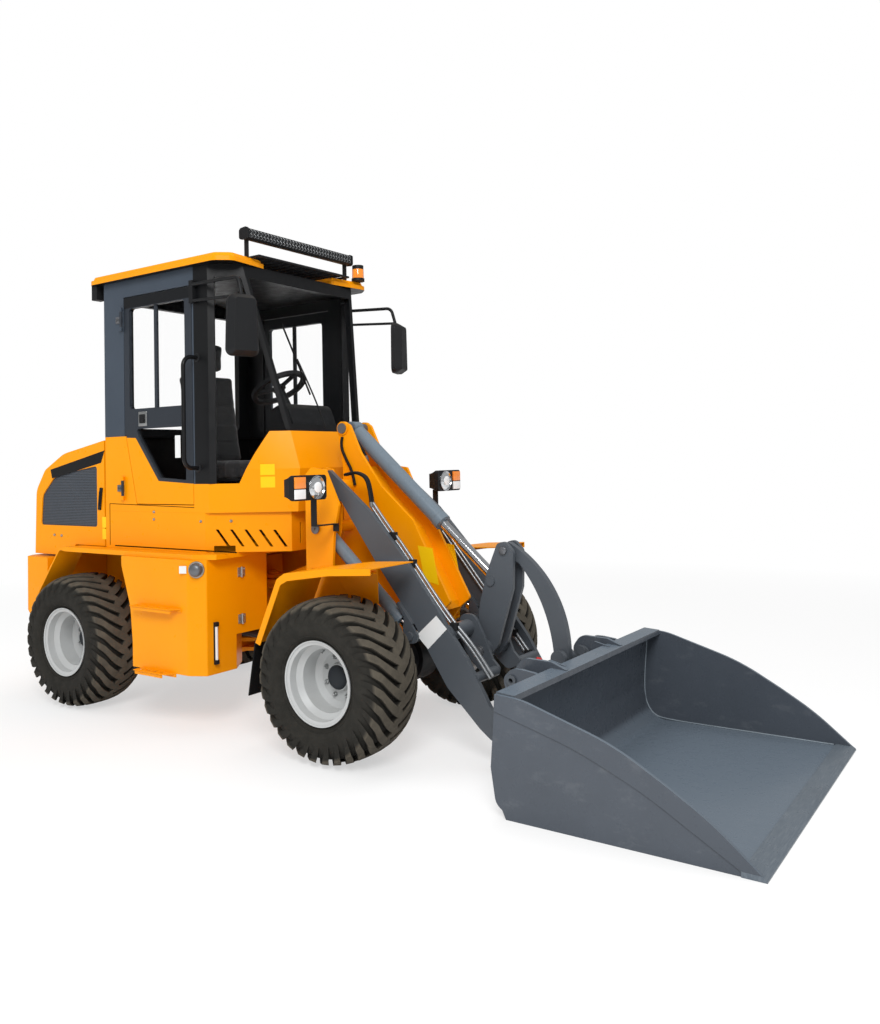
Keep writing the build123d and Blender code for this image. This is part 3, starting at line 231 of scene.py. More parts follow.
def make(name, colour, rough=0.4, metal=0.0, shade=0.08, grain=220.0, bump=0.05, wear=None, dust=0.0, coat=0.0,
         rough_range=0.08, patch=2.5, dust_colour=(0.42, 0.37, 0.3, 1.0), edge=2.5, mirror=0.25):
    g = Graph(name)
    g.set("Specular IOR Level", mirror)
    rounded = g.node("Bevel", samples=4, Radius=edge / 1000).outputs["Normal"] if edge else None
    dark = tuple(c * (1 - shade) for c in colour[:3]) + (1.0,)
    light = tuple(min(1.0, c * (1 + shade)) for c in colour[:3]) + (1.0,)
    tone = g.mix(g.spread(g.noise(patch, 4, 0.6), 0.3, 0.7), dark, light)
    if dust:
        film = g.maths("MULTIPLY", upward_mask(g), g.spread(g.noise(9, 6, 0.65), 0.35, 0.75, 0.15, 1.0))
        tone = g.mix(g.maths("MULTIPLY", film, dust), tone, dust_colour)
    roughness = g.spread(g.noise(17, 5, 0.6), 0.3, 0.7, rough - rough_range, rough + rough_range)
    if wear:
        mask = g.maths("MULTIPLY", edge_mask(g, rounded), 0.7)
        tone = g.mix(mask, tone, wear)
        roughness = g.maths("ADD", roughness, g.maths("MULTIPLY", mask, 0.12))
    g.set("Base Color", tone)
    g.set("Roughness", roughness)
    g.set("Metallic", metal)
    if coat:
        g.set("Coat Weight", coat)
        g.set("Coat Roughness", 0.12)
    g.bump(g.noise(grain, 3, 0.55), bump, below=rounded)
    return g


ORANGE_LOOK = dict(rough=0.34, shade=0.03, bump=0.03, coat=0.0, mirror=0.16, wear=srgb(196, 122, 22), dust=0.02)
ORANGE_G = make("orange_paint", srgb(238, 149, 0), **ORANGE_LOOK)
SHELL_G = make("cab_orange_paint", srgb(238, 149, 0), **ORANGE_LOOK)
ARM_GREY = make("arm_paint", srgb(76, 81, 87), 0.36, shade=0.06, bump=0.05, coat=0.08, wear=srgb(120, 122, 124),
                dust=0.05).material
BARREL_GREY = make("cylinder_paint", srgb(104, 116, 126), 0.3, shade=0.05, bump=0.04, coat=0.2,
                   wear=srgb(150, 152, 154), dust=0.03).material
CAB_G = make("cab_paint", srgb(60, 69, 80), 0.4, shade=0.06, bump=0.04, coat=0.05, wear=srgb(90, 95, 100), dust=0.06)
DOOR_G = make("door_paint", srgb(44, 49, 56), 0.4, shade=0.06, bump=0.04, coat=0.05, wear=srgb(84, 88, 92), dust=0.05)
BLACK_PAINT = make("black_paint", srgb(22, 23, 25), 0.45, shade=0.15, bump=0.08, wear=srgb(70, 68, 66),
                   dust=0.14).material
PLASTIC = make("black_plastic", srgb(24, 25, 27), 0.55, shade=0.12, grain=900, bump=0.25, dust=0.08).material
RUBBER = make("black_rubber", srgb(16, 16, 17), 0.78, shade=0.18, grain=400, bump=0.3, dust=0.1, mirror=0.15).material
HOSE = make("hose_rubber", srgb(20, 20, 22), 0.62, shade=0.2, grain=600, bump=0.35, dust=0.08, mirror=0.2).material
RIM = make("rim_paint", srgb(182, 184, 184), 0.42, metal=0.1, shade=0.05, bump=0.04, dust=0.14).material
CHROME = make("hard_chrome", srgb(215, 218, 222), 0.12, metal=1.0, shade=0.03, grain=500, bump=0.02,
              rough_range=0.04).material
PIPE = make("plated_pipe", srgb(142, 145, 148), 0.34, metal=0.7, shade=0.1, bump=0.05).material
WELD = make("weld_bead", srgb(128, 138, 146), 0.4, shade=0.2, grain=600, bump=0.5, edge=0).material
ZINC = make("zinc_steel", srgb(176, 178, 178), 0.32, metal=0.9, shade=0.1, bump=0.08, wear=srgb(215, 213, 208)).material
STEEL = make("pin_steel", srgb(110, 112, 116), 0.4, metal=0.6, shade=0.1, bump=0.08, wear=srgb(170, 170, 168)).material
IRON = make("engine_iron", srgb(45, 47, 50), 0.6, metal=0.2, shade=0.2, grain=160, bump=0.4, dust=0.2).material
HUB = make("hub_paint", srgb(36, 40, 45), 0.45, shade=0.12, bump=0.1, wear=srgb(100, 100, 100), dust=0.1).material
RED = make("red_plastic", srgb(190, 22, 20), 0.35, shade=0.1, bump=0.05).material
LABEL_WHITE = make("blank_label", srgb(222, 224, 224), 0.45, shade=0.03, bump=0.02, edge=0).material
LABEL_YELLOW = make("blank_yellow_label", srgb(245, 196, 10), 0.4, shade=0.03, bump=0.02, edge=0).material
BAND_BLACK = make("black_band", srgb(16, 16, 17), 0.35, shade=0.1, bump=0.03, edge=0, dust=0.03).material
DARK = make("shadow_black", srgb(5, 5, 6), 0.7, shade=0.2, bump=0.05, edge=0, mirror=0.05).material


def recolour(g, factor, colour):
    """Mix a second colour over a material's own one where factor is 1."""
    base = g.shader.inputs["Base Color"].links[0].from_socket
    g.set("Base Color", g.mix(factor, base, colour))


def coordinate(g, axis):
    split = g.node("SeparateXYZ")
    g.link(g.coords, split.inputs["Vector"])
    return split.outputs[axis]


def step_mask(g, value, edge, above=True, soft=0.0004):
    """1 on one side of a limit, given in metres."""
    return g.spread(value, edge - soft, edge + soft, 0.0 if above else 1.0, 1.0 if above else 0.0)


def under_mask(g):
    return g.spread(normal_z(g), -0.6, -0.5, 1.0, 0.0)


def cab_materials():
    """Grey outside; everything that faces the inside gets painted shade, near black, and so does the underside of the
    shell's roof; the doors' top strip and the front posts are black all round.
    """
    x, y, z = (coordinate(CAB_G, k) for k in "XYZ")
    # inside-facing faces of the frame: painted shade, near black
    inner = CAB_G.maths("MULTIPLY", step_mask(CAB_G, CAB_G.maths("ABSOLUTE", y, 0), 0.6575, above=False),
                        step_mask(CAB_G, x, REAR_WALL / 1000 + AXLE_X))
    front = step_mask(CAB_G, x, -1.112 + AXLE_X)
    recolour(CAB_G, CAB_G.maths("MAXIMUM", inner, front), srgb(15, 16, 18))
    y, z = coordinate(DOOR_G, "Y"), coordinate(DOOR_G, "Z")
    # inside-facing faces of the doors: painted shade, near black
    inner = step_mask(DOOR_G, DOOR_G.maths("ABSOLUTE", y, 0), 0.648, above=False)
    recolour(DOOR_G, DOOR_G.maths("MAXIMUM", inner, step_mask(DOOR_G, z, 2.628)), srgb(17, 19, 22))
    g = SHELL_G
    x, y = coordinate(g, "X"), g.maths("ABSOLUTE", coordinate(g, "Y"), 0)
    corner = g.maths("ADD", y, g.maths("MULTIPLY", g.maths("SUBTRACT", x, AXLE_X), 0.906))
    # inside-facing faces of the shell below the roof: painted shade, near black
    inner = g.maths("MULTIPLY", step_mask(g, y, 0.655, above=False), step_mask(g, corner, -0.241, above=False))
    inner = g.maths("MULTIPLY", inner, g.maths("MULTIPLY", step_mask(g, x, REAR_WALL / 1000 + AXLE_X),
                                               step_mask(g, x, -0.66 + AXLE_X, above=False)))
    # downward faces of the roof: painted shade under it
    roof = g.maths("MULTIPLY", under_mask(g), step_mask(g, coordinate(g, "Z"), 2.6))
    above = step_mask(g, coordinate(g, "Z"), 2.75, above=False)
    recolour(g, g.maths("MAXIMUM", g.maths("MULTIPLY", inner, above), roof), srgb(16, 15, 15))


cab_materials()
ORANGE, SHELL, CAB_GREY, DOOR_GREY = ORANGE_G.material, SHELL_G.material, CAB_G.material, DOOR_G.material


def bucket_material():
    g = make("bucket_paint", srgb(72, 78, 86), 0.3, shade=0.07, bump=0.04, coat=0.12, wear=srgb(120, 124, 126),
             dust=0.02)
    # upward faces painted lighter: painted light from above
    recolour(g, g.maths("MULTIPLY", upward_mask(g), 0.9), srgb(98, 109, 120))
    scratches = g.spread(g.noise(6, 8, 0.75, (1, 26, 2)), 0.56, 0.64)
    recolour(g, g.maths("MULTIPLY", scratches, 0.14), srgb(124, 128, 132))
    return g.material


def steel_edge_material():
    g = make("cutting_edge_steel", srgb(92, 101, 110), 0.32, metal=0.1, shade=0.07, bump=0.06,
             wear=srgb(160, 164, 166), dust=0.0)
    streak = g.spread(g.noise(9, 8, 0.7, (30, 1.5, 4)), 0.45, 0.65)
    recolour(g, g.maths("MULTIPLY", streak, 0.2), srgb(150, 156, 160))
    return g.material


def tyre_material():
    """Dark rubber; the worn tops of the lugs, marked by the mesh's own attribute, are lighter."""
    g = make("tyre_rubber", srgb(40, 39, 36), 0.82, shade=0.14, grain=300, bump=0.25, dust=0.0, patch=5, edge=0,
             mirror=0.12)
    grey = g.spread(g.noise(22, 8, 0.7), 0.42, 0.72)
    recolour(g, g.maths("MULTIPLY", grey, 0.3), srgb(66, 63, 58))
    top = g.node("Attribute", attribute_name="lug").outputs["Fac"]
    worn = g.spread(g.noise(14, 6, 0.7), 0.35, 0.7, 0.55, 1.0)
    recolour(g, g.maths("MULTIPLY", g.spread(top, 0.6, 0.95), worn), srgb(92, 86, 76))
    return g.material


def glass_material(name, alpha, tint):
    g = Graph(name)
    smear = g.noise(5, 6, 0.7, (1, 1, 0.35))
    g.set("Base Color", g.mix(g.spread(smear, 0.4, 0.7), tint, tuple(c * 1.8 for c in tint[:3]) + (1.0,)))
    g.set("Roughness", g.spread(smear, 0.35, 0.75, 0.02, 0.1))
    layer = g.node("LayerWeight", Blend=0.2)
    g.set("Alpha", g.spread(layer.outputs["Facing"], 0.35, 1.0, alpha, 0.22))
    g.bump(g.noise(2.0, 2, 0.4), 0.02)
    g.material.blend_method = "HASHED"
    return g.material


def mesh_plate_material():
    """Painted sheet with staggered round holes, the holes drawn near black as painted shade of the dark space behind
    the sheet.
    """
    g = make("perforated_sheet", srgb(74, 80, 88), 0.45, shade=0.08, bump=0.0, dust=0.1)
    mapping = g.node("Mapping")
    mapping.inputs["Rotation"].default_value = (math.pi / 2, 0, math.radians(30))
    g.link(g.coords, mapping.inputs["Vector"])
    cells = g.node("TexVoronoi", feature="F1", Scale=92.0, Randomness=0.0)
    g.link(g.coords, cells.inputs["Vector"])
    hole = g.spread(cells.outputs["Distance"], 0.30, 0.38, 1.0, 0.0)
    # the holes: painted shade, standing in for the unlit space seen through them
    recolour(g, hole, srgb(10, 10, 11))
    g.bump(g.maths("MULTIPLY", hole, -1.0), 0.5, 0.002)
    return g.material


def fabric_material():
    g = Graph("seat_cloth")
    wave = g.node("TexWave", Scale=340.0, Distortion=1.2)
    g.link(g.coords, wave.inputs["Vector"])
    cross = g.node("TexWave", Scale=340.0, Distortion=1.2, bands_direction="Y")
    g.link(g.coords, cross.inputs["Vector"])
    weave = g.maths("MULTIPLY", wave.outputs["Fac"], cross.outputs["Fac"])
    g.set("Base Color", g.mix(weave, srgb(26, 27, 29), srgb(62, 63, 66)))
    g.set("Roughness", g.spread(g.noise(30), 0.3, 0.7, 0.78, 0.95))
    g.shader.inputs["Sheen Weight"].default_value = 0.3
    g.bump(weave, 0.3, 0.0008)
    return g.material


def lens_material(name, colour, ribs=420.0):
    g = Graph(name)
    rib = g.node("TexWave", Scale=ribs / 12, Distortion=0.0, bands_direction="Y")
    g.link(g.coords, rib.inputs["Vector"])
    g.set("Base Color", g.mix(rib.outputs["Fac"], colour, tuple(min(1, c * 1.5) for c in colour[:3]) + (1,)))
    g.set("Roughness", g.spread(g.noise(20), 0.3, 0.7, 0.03, 0.1))
    g.bump(rib.outputs["Fac"], 0.25, 0.002)
    g.set("Coat Weight", 1.0)
    g.set("Coat Roughness", 0.03)
    return g.material


def reflector_material():
    g = make("lamp_reflector", srgb(225, 228, 230), 0.12, metal=0.9, shade=0.12, bump=0.0)
    facets = g.node("TexVoronoi", feature="F1", Scale=55.0, Randomness=0.35)
    g.link(g.coords, facets.inputs["Vector"])
    g.bump(facets.outputs["Distance"], 0.5, 0.004)
    return g.material


BUCKET_PAINT = bucket_material()
EDGE_STEEL = steel_edge_material()
TYRE = tyre_material()
GLASS = glass_material("clear_glass", 0.006, (0.012, 0.014, 0.015, 1.0))
PERFORATED = mesh_plate_material()
CLOTH = fabric_material()
CLEAR_LENS = lens_material("clear_lens", (0.72, 0.74, 0.75, 1.0))
AMBER_LENS = lens_material("amber_lens", (0.9, 0.22, 0.02, 1.0))
RED_LENS = lens_material("red_lens", (0.55, 0.02, 0.02, 1.0))
REFLECTOR = reflector_material()
MIRROR = make("mirror_glass", srgb(205, 208, 210), 0.02, metal=1.0, shade=0.02, bump=0.0, rough_range=0.01).material

NODES_OF = (
    (ORANGE, "front_frame front_fenders rear_chassis platform side_tanks boarding_steps counterweight hood skirt_panels"),
    (SHELL, "cab_body cab_roof door_right_skin door_left_skin"),
    (CAB_GREY, "cab_frame grab_handles"), (DOOR_GREY, "door_right door_left"),
    (GLASS, "cab_glass door_right_glass door_left_glass"),
    (ARM_GREY, "boom tilt_lever tilt_link quick_hitch bucket_pins steering_barrel_right steering_barrel_left tow_hitch"),
    (BARREL_GREY, "lift_barrels tilt_barrel"), (BUCKET_PAINT, "bucket"), (EDGE_STEEL, "cutting_edge"),
    (STEEL, "lever_pin link_pin tilt_pin"), (CHROME, "lift_rods tilt_rod steering_rod_right steering_rod_left"),
    (BLACK_PAINT, "front_axle rear_axle"), (RUBBER, "mudflaps"), (IRON, "engine_block"), (PERFORATED, "hood_grilles"),
    (PLASTIC, "roof_guard console steering_wheel headlights roof_lamps mirrors"), (CLOTH, "seat"))
CAD_MATERIALS = {name: material for material, names in NODES_OF for name in names.split()}
for name in nodes_by_name:
    if name.startswith("rim_"):
        CAD_MATERIALS[name] = RIM
    if name.startswith("tyre_"):
        CAD_MATERIALS[name] = TYRE
for name, item in nodes_by_name.items():
    item.data.materials.clear()
    item.data.materials.append(CAD_MATERIALS[name])


# ------------------------------------------------------------------ making pieces
def finish(name, bm, material, body, smooth=40, replaces=()):
    mesh = bpy.data.meshes.new(name)
    bm.normal_update()
    bm.to_mesh(mesh)
    bm.free()
    item = bpy.data.objects.new(name, mesh)
    scene.collection.objects.link(item)
    for one in material if isinstance(material, (list, tuple)) else (material,):
        mesh.materials.append(one)
    for face in mesh.polygons:
        face.use_smooth = True
    mesh.set_sharp_from_angle(angle=math.radians(smooth))
    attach(item, body)
    for node in replaces:
        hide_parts(node)
    return item


def prism(bm, points, axis, low, high, bevel=0.0):
    """Extrude a closed outline of 2-D points (mm): axis y gives (x, z) outlines, x gives (y, z), z gives (x, y)."""
    def place(p, depth):
        if axis == "y":
            return at(p[0], depth, p[1])
        if axis == "x":
            return at(depth, p[0], p[1])
        return at(p[0], p[1], depth)
    first = [bm.verts.new(place(p, low)) for p in points]
    last = [bm.verts.new(place(p, high)) for p in points]
    faces = [bm.faces.new(first), bm.faces.new(last[::-1])]
    for k in range(len(points)):
        n = (k + 1) % len(points)
        faces.append(bm.faces.new((first[k], last[k], last[n], first[n])))
    bmesh.ops.recalc_face_normals(bm, faces=faces)
    if bevel:
        edges = list({e for f in faces for e in f.edges})
        bmesh.ops.bevel(bm, geom=edges, offset=bevel / 1000, segments=2, profile=0.6, affect="EDGES",
                        clamp_overlap=True)


def slab(bm, x0, x1, y0, y1, z0, z1, bevel=2.0):
    prism(bm, [(x0, y0), (x1, y0), (x1, y1), (x0, y1)], "z", z0, z1, bevel)


def frame_of(direction):
    z = Vector(direction).normalized()
    side = Vector((0, 0, 1)) if abs(z.z) < 0.9 else Vector((1, 0, 0))
    x = side.cross(z).normalized()
    return x, z.cross(x), z


def lathe(bm, base, direction, profile, steps=24, squash=1.0):
    """Turn (distance along, radius) pairs in mm about an axis; radius 0 ends close to a point."""
    x, y, z = frame_of(direction)
    rings = []
    for along, radius in profile:
        centre = base + z * (along / 1000)
        if radius <= 0:
            rings.append([bm.verts.new(centre)])
        else:
            rings.append([bm.verts.new(centre + (x * math.cos(a) + y * math.sin(a) * squash) * (radius / 1000))
                          for a in (2 * math.pi * k / steps for k in range(steps))])
    for one, two in zip(rings, rings[1:]):
        for k in range(steps):
            n = (k + 1) % steps
            if len(one) == 1:
                bm.faces.new((one[0], two[k], two[n]))
            elif len(two) == 1:
                bm.faces.new((one[k], two[0], one[n]))
            else:
                bm.faces.new((one[k], two[k], two[n], one[n]))
    for ring, flip in ((rings[0], True), (rings[-1], False)):
        if len(ring) > 1:
            bm.faces.new(ring[::-1] if flip else ring)
    return rings


def rod(bm, start, end, radius, steps=20, edge=1.5):
    length = (end - start).length * 1000
    profile = [(0, radius - edge), (edge, radius), (length - edge, radius), (length, radius - edge)]
    lathe(bm, start, end - start, profile, steps)


def bolt(bm, place, normal, size, washer=True):
    """A hexagon head with its washer, sitting on a face."""
    n = Vector(normal).normalized()
    if washer:
        lathe(bm, place, n, [(0, size * 1.05), (size * 0.16, size * 1.05), (size * 0.2, size * 0.98)], 18)
    head = [(0, size * 0.86), (size * 0.5, size * 0.86), (size * 0.66, size * 0.7)]
    lathe(bm, place + n * (size * 0.2 / 1000), n, head, 6)


def tube(name, points, radius, material, body, order=3, resolution=10, cyclic=False):
    curve = bpy.data.curves.new(name, "CURVE")
    curve.dimensions = "3D"
    curve.bevel_depth = radius / 1000
    curve.bevel_resolution = 4
    curve.resolution_u = resolution
    curve.use_fill_caps = True
    spline = curve.splines.new("NURBS")
    spline.points.add(len(points) - 1)
    for point, place in zip(spline.points, points):
        point.co = (*at(*place), 1.0)
    spline.order_u = order
    spline.use_endpoint_u = not cyclic
    spline.use_cyclic_u = cyclic
    curve.materials.append(material)
    item = bpy.data.objects.new(name, curve)
    scene.collection.objects.link(item)
    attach(item, body)
    return item


# ------------------------------------------------------------------ camera, floor and lamps
def add_camera():
    data = bpy.data.cameras.new("camera")
    data.sensor_width = 36.0
    data.lens = 31.95
    data.shift_x = 0.0336
    data.shift_y = -0.077
    item = bpy.data.objects.new("camera", data)
    scene.collection.objects.link(item)
    yaw, pitch, roll = -0.6200, -0.0313, -0.0202
    ahead = Vector((math.sin(yaw) * math.cos(pitch), math.cos(yaw) * math.cos(pitch), -math.sin(pitch)))
    right = Vector((math.cos(yaw), -math.sin(yaw), 0))
    up = right.cross(ahead)
    c, s = math.cos(roll), math.sin(roll)
    right, up = right * c + up * s, up * c - right * s
    turn = Matrix((right, up, -ahead)).transposed().to_4x4()
    item.matrix_world = Matrix.Translation(at(3175.5, -4451.2, 1587.2)) @ turn
    scene.camera = item


def add_stage():
    bm = bmesh.new()
    bmesh.ops.create_circle(bm, cap_ends=True, radius=60, segments=96)
    mesh = bpy.data.meshes.new("floor")
    bm.to_mesh(mesh)
    bm.free()
    floor = bpy.data.objects.new("floor", mesh)
    floor.location.z = min(0.0, cad_low.z) - 0.0005
    scene.collection.objects.link(floor)
    g = Graph("floor_white")
    g.set("Base Color", g.mix(g.noise(1.5), (0.86, 0.86, 0.86, 1), (0.88, 0.88, 0.88, 1)))
    g.set("Roughness", 0.9)
    g.set("Specular IOR Level", 0.1)
    length = g.node("VectorMath", operation="LENGTH")
    g.link(g.coords, length.inputs[0])
    far = g.spread(length.outputs["Value"], 3.0, 9.0, 0.55, 1.0)
    light = g.node("LightPath")
    seen = g.maths("MAXIMUM", light.outputs["Is Camera Ray"], light.outputs["Is Transmission Ray"])
    glow = g.node("Emission", Strength=1.0)
    blend = g.node("MixShader")
    g.link(g.maths("MULTIPLY", far, seen), blend.inputs["Fac"])
    g.link(g.shader.outputs["BSDF"], blend.inputs[1])
    g.link(glow.outputs["Emission"], blend.inputs[2])
    g.link(blend.outputs["Shader"], g.output.inputs["Surface"])
    mesh.materials.append(g.material)
    floor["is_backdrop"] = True

    world = bpy.data.worlds.new("studio")
    scene.world = world
    world.use_nodes = True
    tree = world.node_tree
    back = tree.nodes["Background"]
    path = tree.nodes.new("ShaderNodeLightPath")

    def maths(kind, a, b):
        item = tree.nodes.new("ShaderNodeMath")
        item.operation = kind
        tree.links.new(a, item.inputs[0])
        tree.links.new(b, item.inputs[1])
        return item.outputs[0]

    def levels(value, low, high):
        item = tree.nodes.new("ShaderNodeMapRange")
        item.inputs["To Min"].default_value = low
        item.inputs["To Max"].default_value = high
        tree.links.new(value, item.inputs["Value"])
        return item.outputs["Result"]

    seen = maths("MAXIMUM", path.outputs["Is Camera Ray"], path.outputs["Is Transmission Ray"])
    mirrored = levels(path.outputs["Is Glossy Ray"], 1.0, 0.55)      # what shiny faces mirror
    tree.links.new(maths("MULTIPLY", levels(seen, 0.62, 1.0), mirrored), back.inputs["Strength"])
    back.inputs["Color"].default_value = (1, 1, 1, 1)

    for name, place, aim, size, power in (
            ("key", (4.5, -6.5, 7.0), (-0.3, 0, 1.0), 4.0, 620),
            ("fill", (-7.5, -5.0, 4.0), (-1.0, 0, 1.2), 5.0, 170),
            ("top", (0.0, 1.5, 8.5), (0, 0, 1.0), 6.0, 260)):
        data = bpy.data.lights.new(name, "AREA")
        data.shape = "DISK"
        data.size = size
        data.energy = power
        lamp = bpy.data.objects.new(name, data)
        lamp.location = place
        lamp.visible_glossy = name == "key"
        lamp.rotation_euler = (Vector(place) - Vector(aim)).to_track_quat("Z", "Y").to_euler()
        scene.collection.objects.link(lamp)


add_camera()
add_stage()

# ------------------------------------------------------------------ tyres
WHEELS = (("front_right", 0, -1), ("front_left", 0, 1), ("rear_right", -WHEELBASE, -1), ("rear_left", -WHEELBASE, 1))
CARCASS = (                                      # distance from the tyre's middle plane, radius
    (0, 405), (60, 404), (110, 400), (145, 390), (166, 374), (181, 352), (189, 326), (194, 305), (192, 285),
    (187, 268), (181, 258), (174, 248), (168, 239), (160, 235), (155, 222))
LUGS = 30
LUG_ROUTE = (                                    # distance out, radius, turn behind, half width, height
    (-26, 412, -1.8, 16, 24), (-10, 412, -0.3, 28, 24.5), (28, 412, 2.2, 28, 24.5), (70, 410, 6.0, 28, 25),
    (112, 406, 11.0, 27, 24), (146, 397, 16.4, 25, 23), (168, 381, 20.6, 23, 20), (180, 362, 23.2, 20, 14),
    (188, 340, 25.6, 16, 7), (191, 322, 27.2, 12, 3))


def tyre(name, x, side):
    centre = at(x, side * TRACK / 2, WHEEL_Z)
    bm = bmesh.new()

    def spot(out, radius, angle):
        a = math.radians(angle)
        return centre + Vector((math.sin(a) * radius, out, math.cos(a) * radius)) / 1000

    mark = bm.verts.layers.float.new("lug")
    section = [(-u, v) for u, v in reversed(CARCASS[1:])] + list(CARCASS)
    steps = 144
    rings = [[bm.verts.new(spot(u * 1.0, v, 360 * k / steps)) for u, v in section] for k in range(steps)]
    for k in range(steps):
        one, two = rings[k], rings[(k + 1) % steps]
        for j in range(len(section) - 1):
            bm.faces.new((one[j], one[j + 1], two[j + 1], two[j]))
    for half in (-1, 1):
        for lug in range(LUGS):
            start = 360 / LUGS * (lug + (0.5 if half > 0 else 0.0))
            rows = []
            for out, radius, behind, wide, high in LUG_ROUTE:
                angle = start - behind
                spread = math.degrees(wide / radius)
                top = math.degrees((wide - 2.5) / radius)
                lean = 0.6 * high if out > 150 else 0.0
                crest, crest_r = half * min(out + lean, 196), min(TYRE_R - 0.5, radius + high)
                rows.append([bm.verts.new(spot(half * out, radius - 9, angle - spread)),
                             bm.verts.new(spot(crest, crest_r, angle - top)),
                             bm.verts.new(spot(crest, crest_r, angle + top)),
                             bm.verts.new(spot(half * out, radius - 6, angle + spread))])
                rows[-1][1][mark] = rows[-1][2][mark] = 1.0 if out < 175 else 0.5
            for one, two in zip(rows, rows[1:]):
                for j in range(3):
                    bm.faces.new((one[j], one[j + 1], two[j + 1], two[j]))
            bm.faces.new(rows[0])
            bm.faces.new(rows[-1][::-1])
    for out, radius in ((176, 250), (188.5, 298), (190, 290)):   # moulded rings on both walls
        for half in (-1, 1):
            bead = ((-3, -4), (2.2, -2), (2.2, 2), (-3, 4))
            ring = [[bm.verts.new(spot(half * (out + du), radius + dr, 360 * k / steps)) for du, dr in bead]
                    for k in range(steps)]
            for k in range(steps):
                one, two = ring[k], ring[(k + 1) % steps]
                for j in range(3):
                    bm.faces.new((one[j], one[j + 1], two[j + 1], two[j]))
    bmesh.ops.recalc_face_normals(bm, faces=bm.faces)
    finish("tread_tyre_" + name, bm, TYRE, "wheel_" + name, 34, ("tyre_" + name,))


def wheel_trim(name, x, side):
    """Wheel nuts, hub bolts and valve on the visible side of each rim."""
    body = "wheel_" + name
    out = Vector((0, side, 0))
    bm = bmesh.new()
    hub = at(x, side * HUB_OUT, WHEEL_Z)
    lathe(bm, hub - out * 0.004, out, [(0, 66), (6, 66), (16, 58), (20, 40), (22, 0)], 36)
    for k in range(8):
        a = 2 * math.pi * k / 8
        place = hub + Vector((math.cos(a), 0, math.sin(a))) * 0.055
        bolt(bm, place + out * 0.002, out, 9, False)
    finish("hub_cap_" + name, bm, HUB, body)
    bm = bmesh.new()
    for k in range(8):
        a = 2 * math.pi * (k + 0.5) / 8
        place = at(x, side * DISC_FACE, WHEEL_Z) + Vector((math.cos(a), 0, math.sin(a))) * 0.108
        bolt(bm, place, out, 14)
        lathe(bm, place, out, [(8, 7), (20, 7), (22, 5)], 12)
    a = 2.2
    valve = at(x, side * (DISC_FACE + 20), WHEEL_Z) + Vector((math.cos(a), 0, math.sin(a))) * 0.166
    stem = [(0, 5), (4, 4), (30, 4), (31, 5), (42, 5), (43, 0)]
    lathe(bm, valve, out + Vector((math.cos(a), 0, math.sin(a))) * -0.4, stem, 12)
    finish("wheel_nuts_" + name, bm, ZINC, body)


for wheel_name, wheel_x, wheel_side in WHEELS:
    tyre(wheel_name, wheel_x, wheel_side)
    wheel_trim(wheel_name, wheel_x, wheel_side)

# ------------------------------------------------------------------ placing details on the panels
BODY_OF = {name: body_of(item) for name, item in nodes_by_name.items()}
BODY_OF = {name: (body[0] if isinstance(body, (list, tuple)) else body) for name, body in BODY_OF.items()}


def touch(start, direction, only=None):
    """The first CAD face that a ray meets, from a point in mm: (place in mm, normal, node)."""
    origin, ahead, best = at(*start), Vector(direction).normalized(), None
    for name, item in nodes_by_name.items():
        if name.startswith("tyre_") or only and name not in only:
            continue
        back = item.matrix_world.inverted()
        hit, place, normal, _ = item.ray_cast(back @ origin, (back.to_3x3() @ ahead).normalized(), distance=20.0)
        if hit:
            place, normal = item.matrix_world @ place, (item.matrix_world.to_3x3() @ normal).normalized()
            reach = (place - origin).length
            if best is None or reach < best[0]:
                best = (reach, place, normal, name)
    if best is None:
        return None
    place = best[1]
    return ((place.x - AXLE_X) * 1000, place.y * 1000, place.z * 1000), best[2], best[3]


def side_decal(name, points, side, material, start_y=1200, lift=0.8, only=None, smooth=40):
    """A thin plate on the side panels, its outline in (x, z)."""
    cx = sum(p[0] for p in points) / len(points)
    cz = sum(p[1] for p in points) / len(points)
    found = touch((cx, side * start_y, cz), (0, -side, 0), only)
    if found is None:
        return
    y = found[0][1]
    bm = bmesh.new()
    low, high = sorted((y - side * 0.3, y + side * lift))
    prism(bm, points, "y", low, high)
    finish(f"{name}_{dict(SIDES)[side]}", bm, material, BODY_OF[found[2]], smooth)


def box_outline(x0, x1, z0, z1):
    return [(x0, z0), (x1, z0), (x1, z1), (x0, z1)]


def strip(p, q, wide):
    """Outline of a straight line with a width."""
    dx, dz = q[0] - p[0], q[1] - p[1]
    n = math.hypot(dx, dz)
    u, v = -dz / n * wide / 2, dx / n * wide / 2
    return [(p[0] + u, p[1] + v), (q[0] + u, q[1] + v), (q[0] - u, q[1] - v), (p[0] - u, p[1] - v)]


def flat_decal(name, centre, normal, up, wide, tall, material, body, lift=0.8):
    """A thin rectangular label on any face; centre in mm."""
    n = Vector(normal).normalized()
    side = Vector(up).cross(n).normalized()
    top = n.cross(side)
    bm = bmesh.new()
    c = at(*centre)
    rows = []
    for depth in (-0.3, lift):
        rows.append([bm.verts.new(c + n * (depth / 1000) + side * (a * wide / 2000) + top * (b * tall / 2000))
                     for a, b in ((-1, -1), (1, -1), (1, 1), (-1, 1))])
    faces = [bm.faces.new(rows[0][::-1]), bm.faces.new(rows[1])]
    for k in range(4):
        n2 = (k + 1) % 4
        faces.append(bm.faces.new((rows[0][k], rows[0][n2], rows[1][n2], rows[1][k])))
    bmesh.ops.recalc_face_normals(bm, faces=faces)
    finish(name, bm, material, body)


